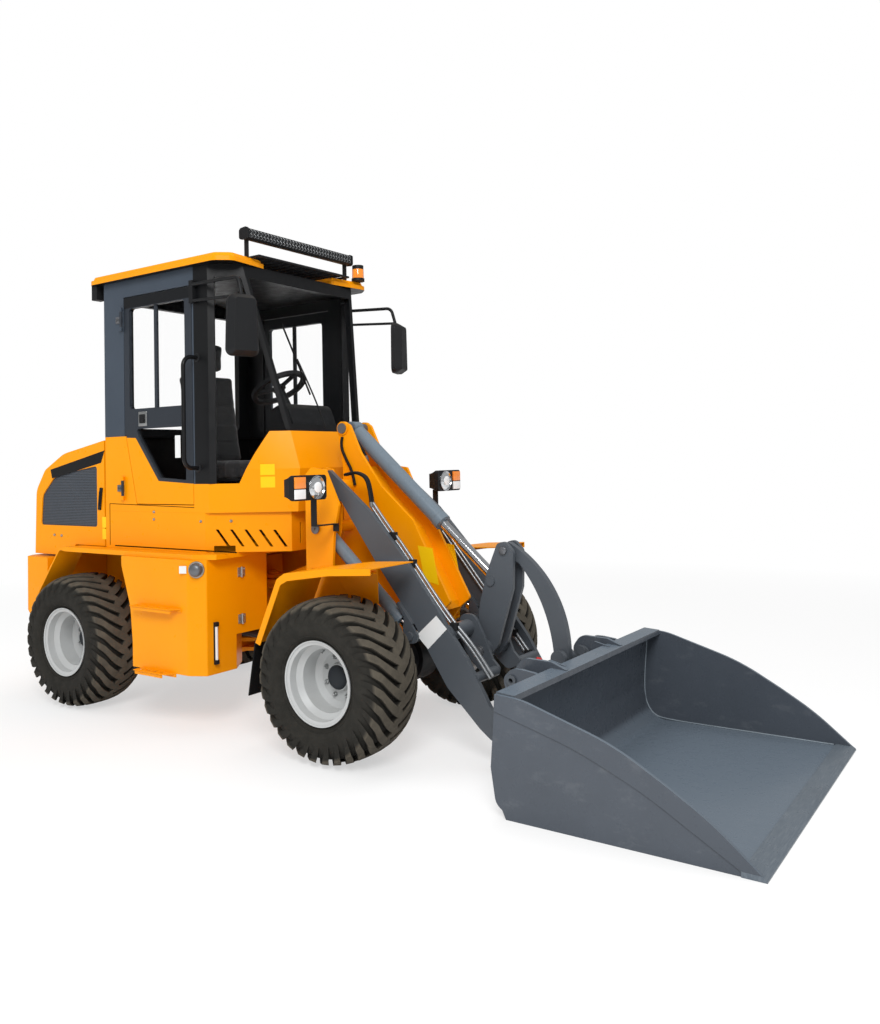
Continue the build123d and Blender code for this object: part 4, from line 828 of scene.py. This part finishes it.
PANEL_BOLTS = ((-2577, 1122), (-2493, 1120), (-1503, 1253), (-1066, 1249), (-1503, 1300), (-900, 1249))
for side, tag in SIDES:
    # hood and body panels
    side_decal("hood_band", [(-2622, 1581), (-2604, 1518), (-2043, 1620), (-2004, 1703)], side, BAND_BLACK)
    side_decal("hood_label", box_outline(-2035, -1995, 1186, 1258), side, LABEL_YELLOW)
    side_decal("hood_label_low", box_outline(-2035, -1995, 1109, 1180), side, LABEL_YELLOW)
    side_decal("seam_hood", strip((-1952, 1074), (-1952, 1348), 5), side, DARK)
    side_decal("seam_sill", strip((-1952, 1348), (-1125, 1332), 4), side, DARK)
    side_decal("gap_platform", strip((-1900, 1072), (-760, 1072), 7), side, DARK)
    bm = bmesh.new()
    found = touch((-2049, side * 1200, 1380), (0, -side, 0))
    if found:
        y = found[0][1]
        low, high = sorted((y - side * 1, y + side * 9))
        prism(bm, [(-2074, 1306), (-2046, 1304), (-2024, 1452), (-2052, 1454)], "y", low, high, 3)
        low, high = sorted((y + side * 8, y + side * 16))
        prism(bm, [(-2062, 1330), (-2050, 1329), (-2037, 1430), (-2049, 1431)], "y", low, high, 2.5)
        finish("hood_latch_" + tag, bm, PLASTIC, BODY_OF[found[2]])
    for k, (x, z) in enumerate(PANEL_BOLTS):
        found = touch((x, side * 1200, z), (0, -side, 0))
        if found:
            bm = bmesh.new()
            bolt(bm, at(*found[0]), found[1], 9)
            finish(f"panel_bolt_{k}_{tag}", bm, ZINC, BODY_OF[found[2]])
    # tank front: level gauge, cap, label and hinges
    gauge_y, hinge_y = side * 702, side * 484
    found = touch((-500, gauge_y, 533), (-1, 0, 0), ("side_tanks",))
    if found:
        x = found[0][0]
        bm = bmesh.new()
        slab(bm, x - 1, x + 5, gauge_y - 13, gauge_y + 13, 409, 658, 2)
        slab(bm, x + 4, x + 22, gauge_y - 14, gauge_y + 14, 409, 436, 4)
        slab(bm, x + 4, x + 22, gauge_y - 14, gauge_y + 14, 632, 659, 4)
        finish("gauge_frame_" + tag, bm, PLASTIC, BODY_OF["side_tanks"])
        bm = bmesh.new()
        rod(bm, at(x + 12, gauge_y, 432), at(x + 12, gauge_y, 636), 8.5)
        finish("gauge_tube_" + tag, bm, LABEL_WHITE, BODY_OF["side_tanks"])
        for z in (931, 646):
            bm = bmesh.new()
            slab(bm, x - 1, x + 5, hinge_y - 30, hinge_y + 30, z - 28, z + 28, 2)
            rod(bm, at(x + 9, hinge_y, z - 32), at(x + 9, hinge_y, z + 32), 8)
            for dy in (-20, 20):
                for dz in (-16, 16):
                    bolt(bm, at(x + 5, hinge_y + dy, z + dz), (1, 0, 0), 5, False)
            finish(f"tank_hinge_{z}_{tag}", bm, ZINC, BODY_OF["side_tanks"])
    found = touch((-300, side * 1100, 974), (-957 + 300, side * (-800 + 1100) * -1, 0), ("side_tanks",))
    if found:
        place, normal = at(*found[0]), found[1]
        bm = bmesh.new()
        lathe(bm, place - normal * 0.002, normal, [(0, 50), (8, 50), (12, 47), (12, 42)], 40)
        finish("cap_ring_" + tag, bm, ZINC, BODY_OF["side_tanks"])
        bm = bmesh.new()
        lathe(bm, place, normal, [(2, 40), (26, 40), (38, 34), (45, 22), (47, 0)], 40)
        finish("tank_cap_" + tag, bm, STEEL, BODY_OF["side_tanks"])
        across = Vector((0, 0, 1)).cross(normal).normalized()
        c = place - across * 0.085 * (1 if side < 0 else -1)
        flat_decal("tank_label_" + tag, ((c.x - AXLE_X) * 1000, c.y * 1000, c.z * 1000), normal, (0, 0, 1), 44, 44,
                   LABEL_WHITE, BODY_OF["side_tanks"])
    # cowl labels
    for k, (z0, z1) in enumerate(((1446, 1515), (1522, 1591))):
        found = touch((-695, side * 1300, (z0 + z1) / 2), (0, -side, 0), ("cab_body", "skirt_panels", "cab_frame"))
        if found:
            up = Vector((0, 0, 1))
            flat_decal(f"cowl_label_{k}_{tag}", found[0], found[1], up, 88, 66, LABEL_YELLOW, BODY_OF[found[2]],
                       1.2)
    # door: lock, gasket lines, label, hinges
    found = touch((-1602, side * 1200, 1896), (0, -side, 0))
    if found:
        y = found[0][1]
        body = BODY_OF["door_" + tag]
        bm = bmesh.new()
        low, high = sorted((y - side * 2, y + side * 5))
        prism(bm, box_outline(-1642, -1560, 1850, 1944), "y", low, high, 2)
        finish("lock_plate_" + tag, bm, ZINC, body)
        bm = bmesh.new()
        low, high = sorted((y + side * 4, y + side * 12))
        prism(bm, box_outline(-1628, -1576, 1868, 1926), "y", low, high, 4)
        lathe(bm, at(-1586, y + side * 6, 1884), (0, side, 0), [(0, 10), (10, 10), (12, 7), (12, 0)], 20)
        finish("lock_pull_" + tag, bm, PLASTIC, body)
        side_decal("door_label", box_outline(-1312, -1262, 1640, 1780), side, LABEL_WHITE,
                   only=("door_%s_glass" % tag,))
        side_decal("seam_door", strip((-1767, 1773), (-1678, 1351), 5), side, DARK)
    bm = bmesh.new()
    for z0 in (1450, 2560):
        slab(bm, -1862, -1806, side * 674 - 4, side * 674 + 4, z0 - 22, z0 + 22, 2)
        for dx in (-1850, -1826):
            bolt(bm, at(dx, side * 678, z0), (0, side, 0), 7)
    finish("door_hinge_plates_" + tag, bm, STEEL, BODY_OF["cab_frame"])
    # grab handle feet
    bm = bmesh.new()
    for z in (2250, 1574):
        lathe(bm, at(-1084, side * 669, z), (0, side, 0), [(0, 26), (5, 26), (7, 23), (7, 14)], 28)
        for dz in (-18, 18):
            bolt(bm, at(-1084 + dz, side * 674, z), (0, side, 0), 4, False)
    finish("handle_feet_" + tag, bm, PLASTIC, BODY_OF["grab_handles"])
    # headlight: amber part outboard, clear part inboard, chrome bezel
    x = -150
    y0, y1, z0, z1 = 565, 841, 1386, 1524
    bm = bmesh.new()
    low, high = sorted((side * 744, side * (y1 - 10)))
    prism(bm, [(low, z0 + 66), (high, z0 + 66), (high, z1 - 9), (low, z1 - 9)], "x", x - 6, x + 8, 4)
    finish("blinker_lens_" + tag, bm, AMBER_LENS, "front")
    bm = bmesh.new()
    prism(bm, [(low, z0 + 9), (high, z0 + 9), (high, z0 + 62), (low, z0 + 62)], "x", x - 6, x + 7, 4)
    finish("marker_lens_" + tag, bm, CLEAR_LENS, "front")
    bm = bmesh.new()
    centre = at(x, side * 652, (z0 + z1) / 2)
    lathe(bm, centre - Vector((0.004, 0, 0)), (1, 0, 0), [(0, 66), (12, 66), (14, 62), (6, 57), (4, 57)], 48)
    finish("head_bezel_" + tag, bm, CHROME, "front")
    bm = bmesh.new()
    lathe(bm, centre + Vector((0.001, 0, 0)), (1, 0, 0), [(-1, 58), (3, 58), (9, 44), (12, 24), (13, 0)], 48)
    finish("head_lens_" + tag, bm, REFLECTOR, "front")
    bm = bmesh.new()
    lathe(bm, centre - Vector((0.002, 0, 0)), (1, 0, 0), [(0, 30), (17, 30), (19, 26), (19, 0)], 32)
    finish("head_bulb_shield_" + tag, bm, CLEAR_LENS, "front")
    # arm: plated pipes with clamps, blank label
    pipe_y = side * (ARM_Y - 30)
    near = [(-32, pipe_y, 1339), (103, pipe_y, 1174), (152, pipe_y, 1135), (469, pipe_y, 734),
            (614, pipe_y + 23, 585), (716, pipe_y + 31, 436)]
    far = [(41, pipe_y, 1148), (334, pipe_y, 787), (484, pipe_y, 603), (616, pipe_y, 443)]
    route = near if side < 0 else far
    tube("arm_pipe_" + tag, route, PIPE_R, PIPE, "boom")
    tube("arm_pipe_low_" + tag, [(x + 17, y, z + 15) for x, y, z in route], PIPE_R, PIPE, "boom")
    bm = bmesh.new()
    for k in (1, 2, 3):
        a, b = route[k], route[min(k + 1, len(route) - 1)]
        cx, cz = (a[0] * 0.7 + b[0] * 0.3), (a[2] * 0.7 + b[2] * 0.3)
        low, high = sorted((pipe_y - side * 12, side * 331))
        slab(bm, cx - 14, cx + 30, low, high, cz - 12, cz + 30, 4)
    finish("pipe_clamps_" + tag, bm, PLASTIC, "boom")
    low, high = sorted((side * (ARM_FACE - 0.3), side * (ARM_FACE + 1)))
    bm = bmesh.new()
    prism(bm, [(433, 754), (500, 689), (376, 570), (303, 638)], "y", low, high)
    finish("arm_label_" + tag, bm, LABEL_WHITE, "boom")
    # pins: retaining plates and bolts
    for name, place, y, body in (("arm_pivot", ARM_PIVOT, 427, "front"), ("lift_base", LIFT_BASE, 427, "front"),
                                 ("bucket_pin", BUCKET_PIN, 389, "bucket_pins")):
        bm = bmesh.new()
        c = at(place[0], side * (y - 1), place[1])
        profile = [(0, 24), (6, 24), (8, 21), (8, 0)] if body != "front" else [(0, 30), (5, 30), (7, 27), (7, 0)]
        lathe(bm, c, (0, side, 0), profile, 32)
        bolt(bm, c + Vector((0, side * 0.007, 0)), (0, side, 0), 8)
        finish(f"pin_cap_{name}_{tag}", bm, STEEL, body)
    # mirror glass, a rounded rectangle
    turn = math.radians(20) * side
    back = Vector((-math.cos(turn), -math.sin(turn), 0))
    centre = at(-590, side * 760, 2390)
    across = Vector((0, 0, 1)).cross(back).normalized()
    bm = bmesh.new()
    rim_points = []
    for k in range(40):
        a = 2 * math.pi * k / 40
        u, v = math.cos(a), math.sin(a)
        power = 0.42
        rim_points.append((math.copysign(abs(u) ** power, u) * 82, math.copysign(abs(v) ** power, v) * 164))
    ring = [bm.verts.new(centre + back * 0.0308 + across * (u / 1000) + Vector((0, 0, v / 1000)))
            for u, v in rim_points]
    face = bm.faces.new(ring)
    inner = bmesh.ops.extrude_face_region(bm, geom=[face])
    moved = [v for v in inner["geom"] if isinstance(v, bmesh.types.BMVert)]
    bmesh.ops.translate(bm, verts=moved, vec=back * 0.0012)
    bmesh.ops.recalc_face_normals(bm, faces=bm.faces)
    finish("mirror_glass_" + tag, bm, MIRROR, REAR)
    # rear lamps: red over amber
    for name, z0, z1, lens in (("stop", 2775, 2826, RED_LENS), ("turn", 2727, 2770, AMBER_LENS)):
        bm = bmesh.new()
        slab(bm, -2106, -2098, side * 655 - 30, side * 655 + 30, z0, z1, 3)
        finish(f"rear_lens_{name}_{tag}", bm, lens, REAR)

# pins of the tilt linkage
bm = bmesh.new()
for place, y in (((560, 540), 137), ((690, 1088), 77)):
    for side in (-1, 1):
        c = at(place[0], side * (y - 1), place[1])
        lathe(bm, c, (0, side, 0), [(0, 21), (5, 21), (7, 18), (7, 0)], 28)
finish("lever_pin_heads", bm, STEEL, "tilt_lever")

# yellow blank sign on the tower, both sides
SIGN = [(150, 1100), (252, 1088), (292, 880), (196, 902)]
for side, tag in SIDES:
    bm = bmesh.new()
    low, high = sorted((side * 114.8, side * 116))
    prism(bm, SIGN, "y", low, high)
    finish("tower_sign_" + tag, bm, LABEL_YELLOW, "front")

# light bar: two rows of reflectors on a face plate with fins behind it, beacon, deck
BAR_Z = 3008
bm = bmesh.new()
for row in (-1, 1):
    for k in range(34):
        y = -479 + k * 29
        lathe(bm, at(-799, y, BAR_Z + row * 13), (1, 0, 0), [(0, 11.5), (3, 11.5), (1.2, 8.5), (0.6, 0)], 14)
finish("bar_reflectors", bm, REFLECTOR, REAR)
bm = bmesh.new()
slab(bm, -800, -797, -497, 497, BAR_Z - 27, BAR_Z + 27, 1)
finish("bar_face", bm, PLASTIC, REAR)
bm = bmesh.new()
for k in range(25):
    y = -480 + k * 40
    slab(bm, -866, -860, y - 4, y + 4, BAR_Z - 26, BAR_Z + 26, 1)
finish("bar_fins", bm, PLASTIC, REAR)
bm = bmesh.new()
lathe(bm, at(-800, 575, 2888), (0, 0, 1), [(0, 41), (6, 41.5), (62, 40.8), (82, 34), (92.5, 18), (94, 0)], 40)
finish("beacon_dome", bm, AMBER_LENS, REAR)
bm = bmesh.new()
for k in range(22):
    x = -1091 + k * 14.6
    slab(bm, x - 1.6, x + 1.6, -428, 428, 2881, 2885, 0)
for k in range(43):
    y = -420 + k * 20
    slab(bm, -1091, -784, y - 1.4, y + 1.4, 2881.5, 2884, 0)
finish("deck_mesh", bm, BLACK_PAINT, REAR)

# wiper on the windscreen
lower, upper = Vector((-621, 0, 1835)), Vector((-829, 0, 2735))
lean = (upper - lower).normalized()
outward = Vector((lean.z, 0, -lean.x))
if outward.x < 0:
    outward = -outward


def on_screen(y, up, lift):
    p = lower + lean * up + outward * lift
    return (p.x, y, p.z)


tube("wiper_arm", [on_screen(-40, -26, 16), on_screen(-70, 120, 22), on_screen(-190, 420, 20)], 5, PLASTIC,
     REAR)
tube("wiper_blade", [on_screen(-120, 190, 11), on_screen(-190, 420, 12), on_screen(-262, 650, 11)], 6, RUBBER,
     REAR)

# hoses that are held all the way: over the tower and along the arm
tube("tower_hose", [(-396, -120, 1746), (-413, -122, 1696), (-366, -124, 1607), (-320, -124, 1537),
                    (-300, -124, 1450)], HOSE_R, HOSE, "front")
tube("barrel_hose", [(-411, -80, 1785), (-339, -80, 1750), (-285, -72, 1680), (-262, -62, 1629)], HOSE_R, HOSE,
     "tilt_barrel")
for k, y in enumerate((-280, -262)):
    tube(f"arm_hose_{k}", [(-253, y, 1516), (-200, y, 1528), (-153, y, 1527), (-92, y, 1500), (-60, y - 10, 1420),
                           (-40, y - 24, 1352)], HOSE_R, HOSE, "boom")
bm = bmesh.new()
lathe(bm, at(-262, -62, 1629), (0.3, 0.2, -1), [(0, 12), (26, 12), (28, 9), (40, 9)], 6)
finish("hose_fitting_barrel", bm, ZINC, "tilt_barrel")
bm = bmesh.new()
lathe(bm, at(-40, -304, 1352), (0.5, -0.4, -0.7), [(0, 12), (24, 12), (26, 9), (36, 9)], 6)
finish("hose_fitting_boom", bm, ZINC, "boom")

# pipes on the lift cylinders, and the couplings with red caps on the hitch
for side, tag in SIDES:
    tube("lift_pipe_" + tag, [(-322, side * 300, 1150), (-240, side * 300, 1090), (-60, side * 302, 912),
                              (60, side * 306, 800)], 6, CHROME, "lift_barrels")
bm = bmesh.new()
slab(bm, 930, 985, -310, -190, 499, 508, 2)
for y in (-248, -210):
    lathe(bm, at(955, y, 507), (0.25, 0, 1), [(0, 13), (30, 13), (34, 10), (34, 0)], 20)
finish("coupling_bodies", bm, STEEL, "bucket")
bm = bmesh.new()
for y in (-248, -210):
    lathe(bm, at(963, y, 538), (0.25, 0, 1), [(0, 17), (16, 17), (20, 14), (20, 0)], 20)
finish("coupling_caps", bm, RED, "bucket")

# the length of the lift and tilt rods that their barrels hide at rest
LIFT_EYE, TILT_BASE, LEVER_MID = (272, 633), (-395, 1800), (605, 915)


def shank(name, base, eye, y, start, end, radius, body):
    way = (Vector(eye) - Vector(base)).normalized()
    first, last = Vector(base) + way * start, Vector(base) + way * end
    bm = bmesh.new()
    rod(bm, at(first.x, y, first.y), at(last.x, y, last.y), radius)
    finish(name, bm, CHROME, body)


for side, tag in SIDES:
    shank("lift_rod_shank_" + tag, LIFT_BASE, LIFT_EYE, side * ARM_Y, 350, 722, 21.8, "lift_rods")
shank("tilt_rod_shank", TILT_BASE, LEVER_MID, 0, 715, 844, 26.8, "tilt_rod")

# bucket: weld beads inside, along the side walls
for side, tag in SIDES:
    y = side * 898.5
    tube("weld_corner_" + tag, [(1126, y, 540), (1118, y, 440), (1098, y, 225), (1104, y, 110), (1150, y, 34),
                                (1230, y, 18), (1500, y, 17), (2150, y, 17)], 4, WELD, "bucket")

# ------------------------------------------------------------------ the padded seat
PAD_VOXEL = 0.011                                # metres
PAD_PRESSURE = 4.0
SWELL_FRAMES = 14
SEAM_HALF = 16                                   # half the width of a sewn channel, mm
SEAM_DEPTH = 0.006                               # metres


def cushion(name, corners, y_half, cap, channels=()):
    """A stuffed piece from a rounded block: outline in (x, z), swelled by cloth pressure, then seamed."""
    bm = bmesh.new()
    prism(bm, corners, "y", -y_half, y_half)
    bmesh.ops.bevel(bm, geom=list(bm.edges), offset=0.028, segments=4, profile=0.6, affect="EDGES", clamp_overlap=True)
    item = finish(name, bm, CLOTH, REAR, 60)
    remesh = item.modifiers.new("remesh", "REMESH")
    remesh.mode = "VOXEL"
    remesh.voxel_size = PAD_VOXEL
    bake(item)
    rest = [v.co.copy() for v in item.data.vertices]
    cloth = item.modifiers.new("cloth", "CLOTH")
    cloth.settings.quality = 5
    cloth.settings.mass = 0.3
    cloth.settings.use_pressure = True
    cloth.settings.uniform_pressure_force = PAD_PRESSURE
    cloth.settings.effector_weights.gravity = 0.0
    cloth.settings.tension_stiffness = 12
    cloth.settings.compression_stiffness = 12
    for step in range(1, SWELL_FRAMES + 1):
        scene.frame_set(step)
    bake(item)
    scene.frame_set(1)
    for v, before in zip(item.data.vertices, rest):
        move = v.co - before
        if move.length > cap / 1000:
            v.co = before + move.normalized() * (cap / 1000)
    for v in item.data.vertices:                     # seams: narrow grooves across the width
        x, z = (v.co.x - AXLE_X) * 1000, v.co.z * 1000
        for axis, place in channels:
            gap = abs((x if axis == "x" else z) - place)
            if gap < SEAM_HALF:
                v.co += -v.normal * SEAM_DEPTH * (1 - gap / SEAM_HALF) ** 2
    smooth = item.modifiers.new("round", "SUBSURF")
    smooth.levels = smooth.render_levels = 1
    for face in item.data.polygons:
        face.use_smooth = True
    return item


def bake(item):
    graph = bpy.context.evaluated_depsgraph_get()
    mesh = bpy.data.meshes.new_from_object(item.evaluated_get(graph))
    item.modifiers.clear()
    old = item.data
    item.data = mesh
    if not mesh.materials:
        mesh.materials.append(CLOTH)
    bpy.data.meshes.remove(old)


pad = cushion("seat_cushion", [(-1690, 1492), (-1192, 1500), (-1192, 1606), (-1560, 1608), (-1690, 1600)], 238, 12,
              (("x", -1330), ("x", -1450), ("x", -1560)))
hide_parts("seat")
cushion("seat_back", [(-1708, 1588), (-1606, 1610), (-1700, 2236), (-1798, 2222)], 222, 12,
        (("z", 1750), ("z", 1880), ("z", 2010)))
cushion("seat_headrest", [(-1786, 2262), (-1712, 2268), (-1702, 2450), (-1780, 2458)], 130, 9)
bm = bmesh.new()
for y in (-55, 55):
    rod(bm, at(-1752, y, 2200), at(-1748, y, 2290), 7)
slab(bm, -1700, -1200, -236, 236, 1478, 1494, 5)
slab(bm, -1650, -1230, -205, 205, 1300, 1330, 6)
slab(bm, -1640, -1240, -200, 200, 1100, 1302, 8)
for k in range(5):
    z = 1336 + k * 28
    slab(bm, -1622 + (k % 2) * 8, -1258 - (k % 2) * 8, -180 + (k % 2) * 8, 180 - (k % 2) * 8, z, z + 24, 6)
for y in (-252, 252):
    slab(bm, -1640, -1560, y - 10 if y > 0 else y - 2, y + 2 if y > 0 else y + 10, 1500, 1600, 4)
finish("seat_frame", bm, PLASTIC, REAR)

low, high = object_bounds()
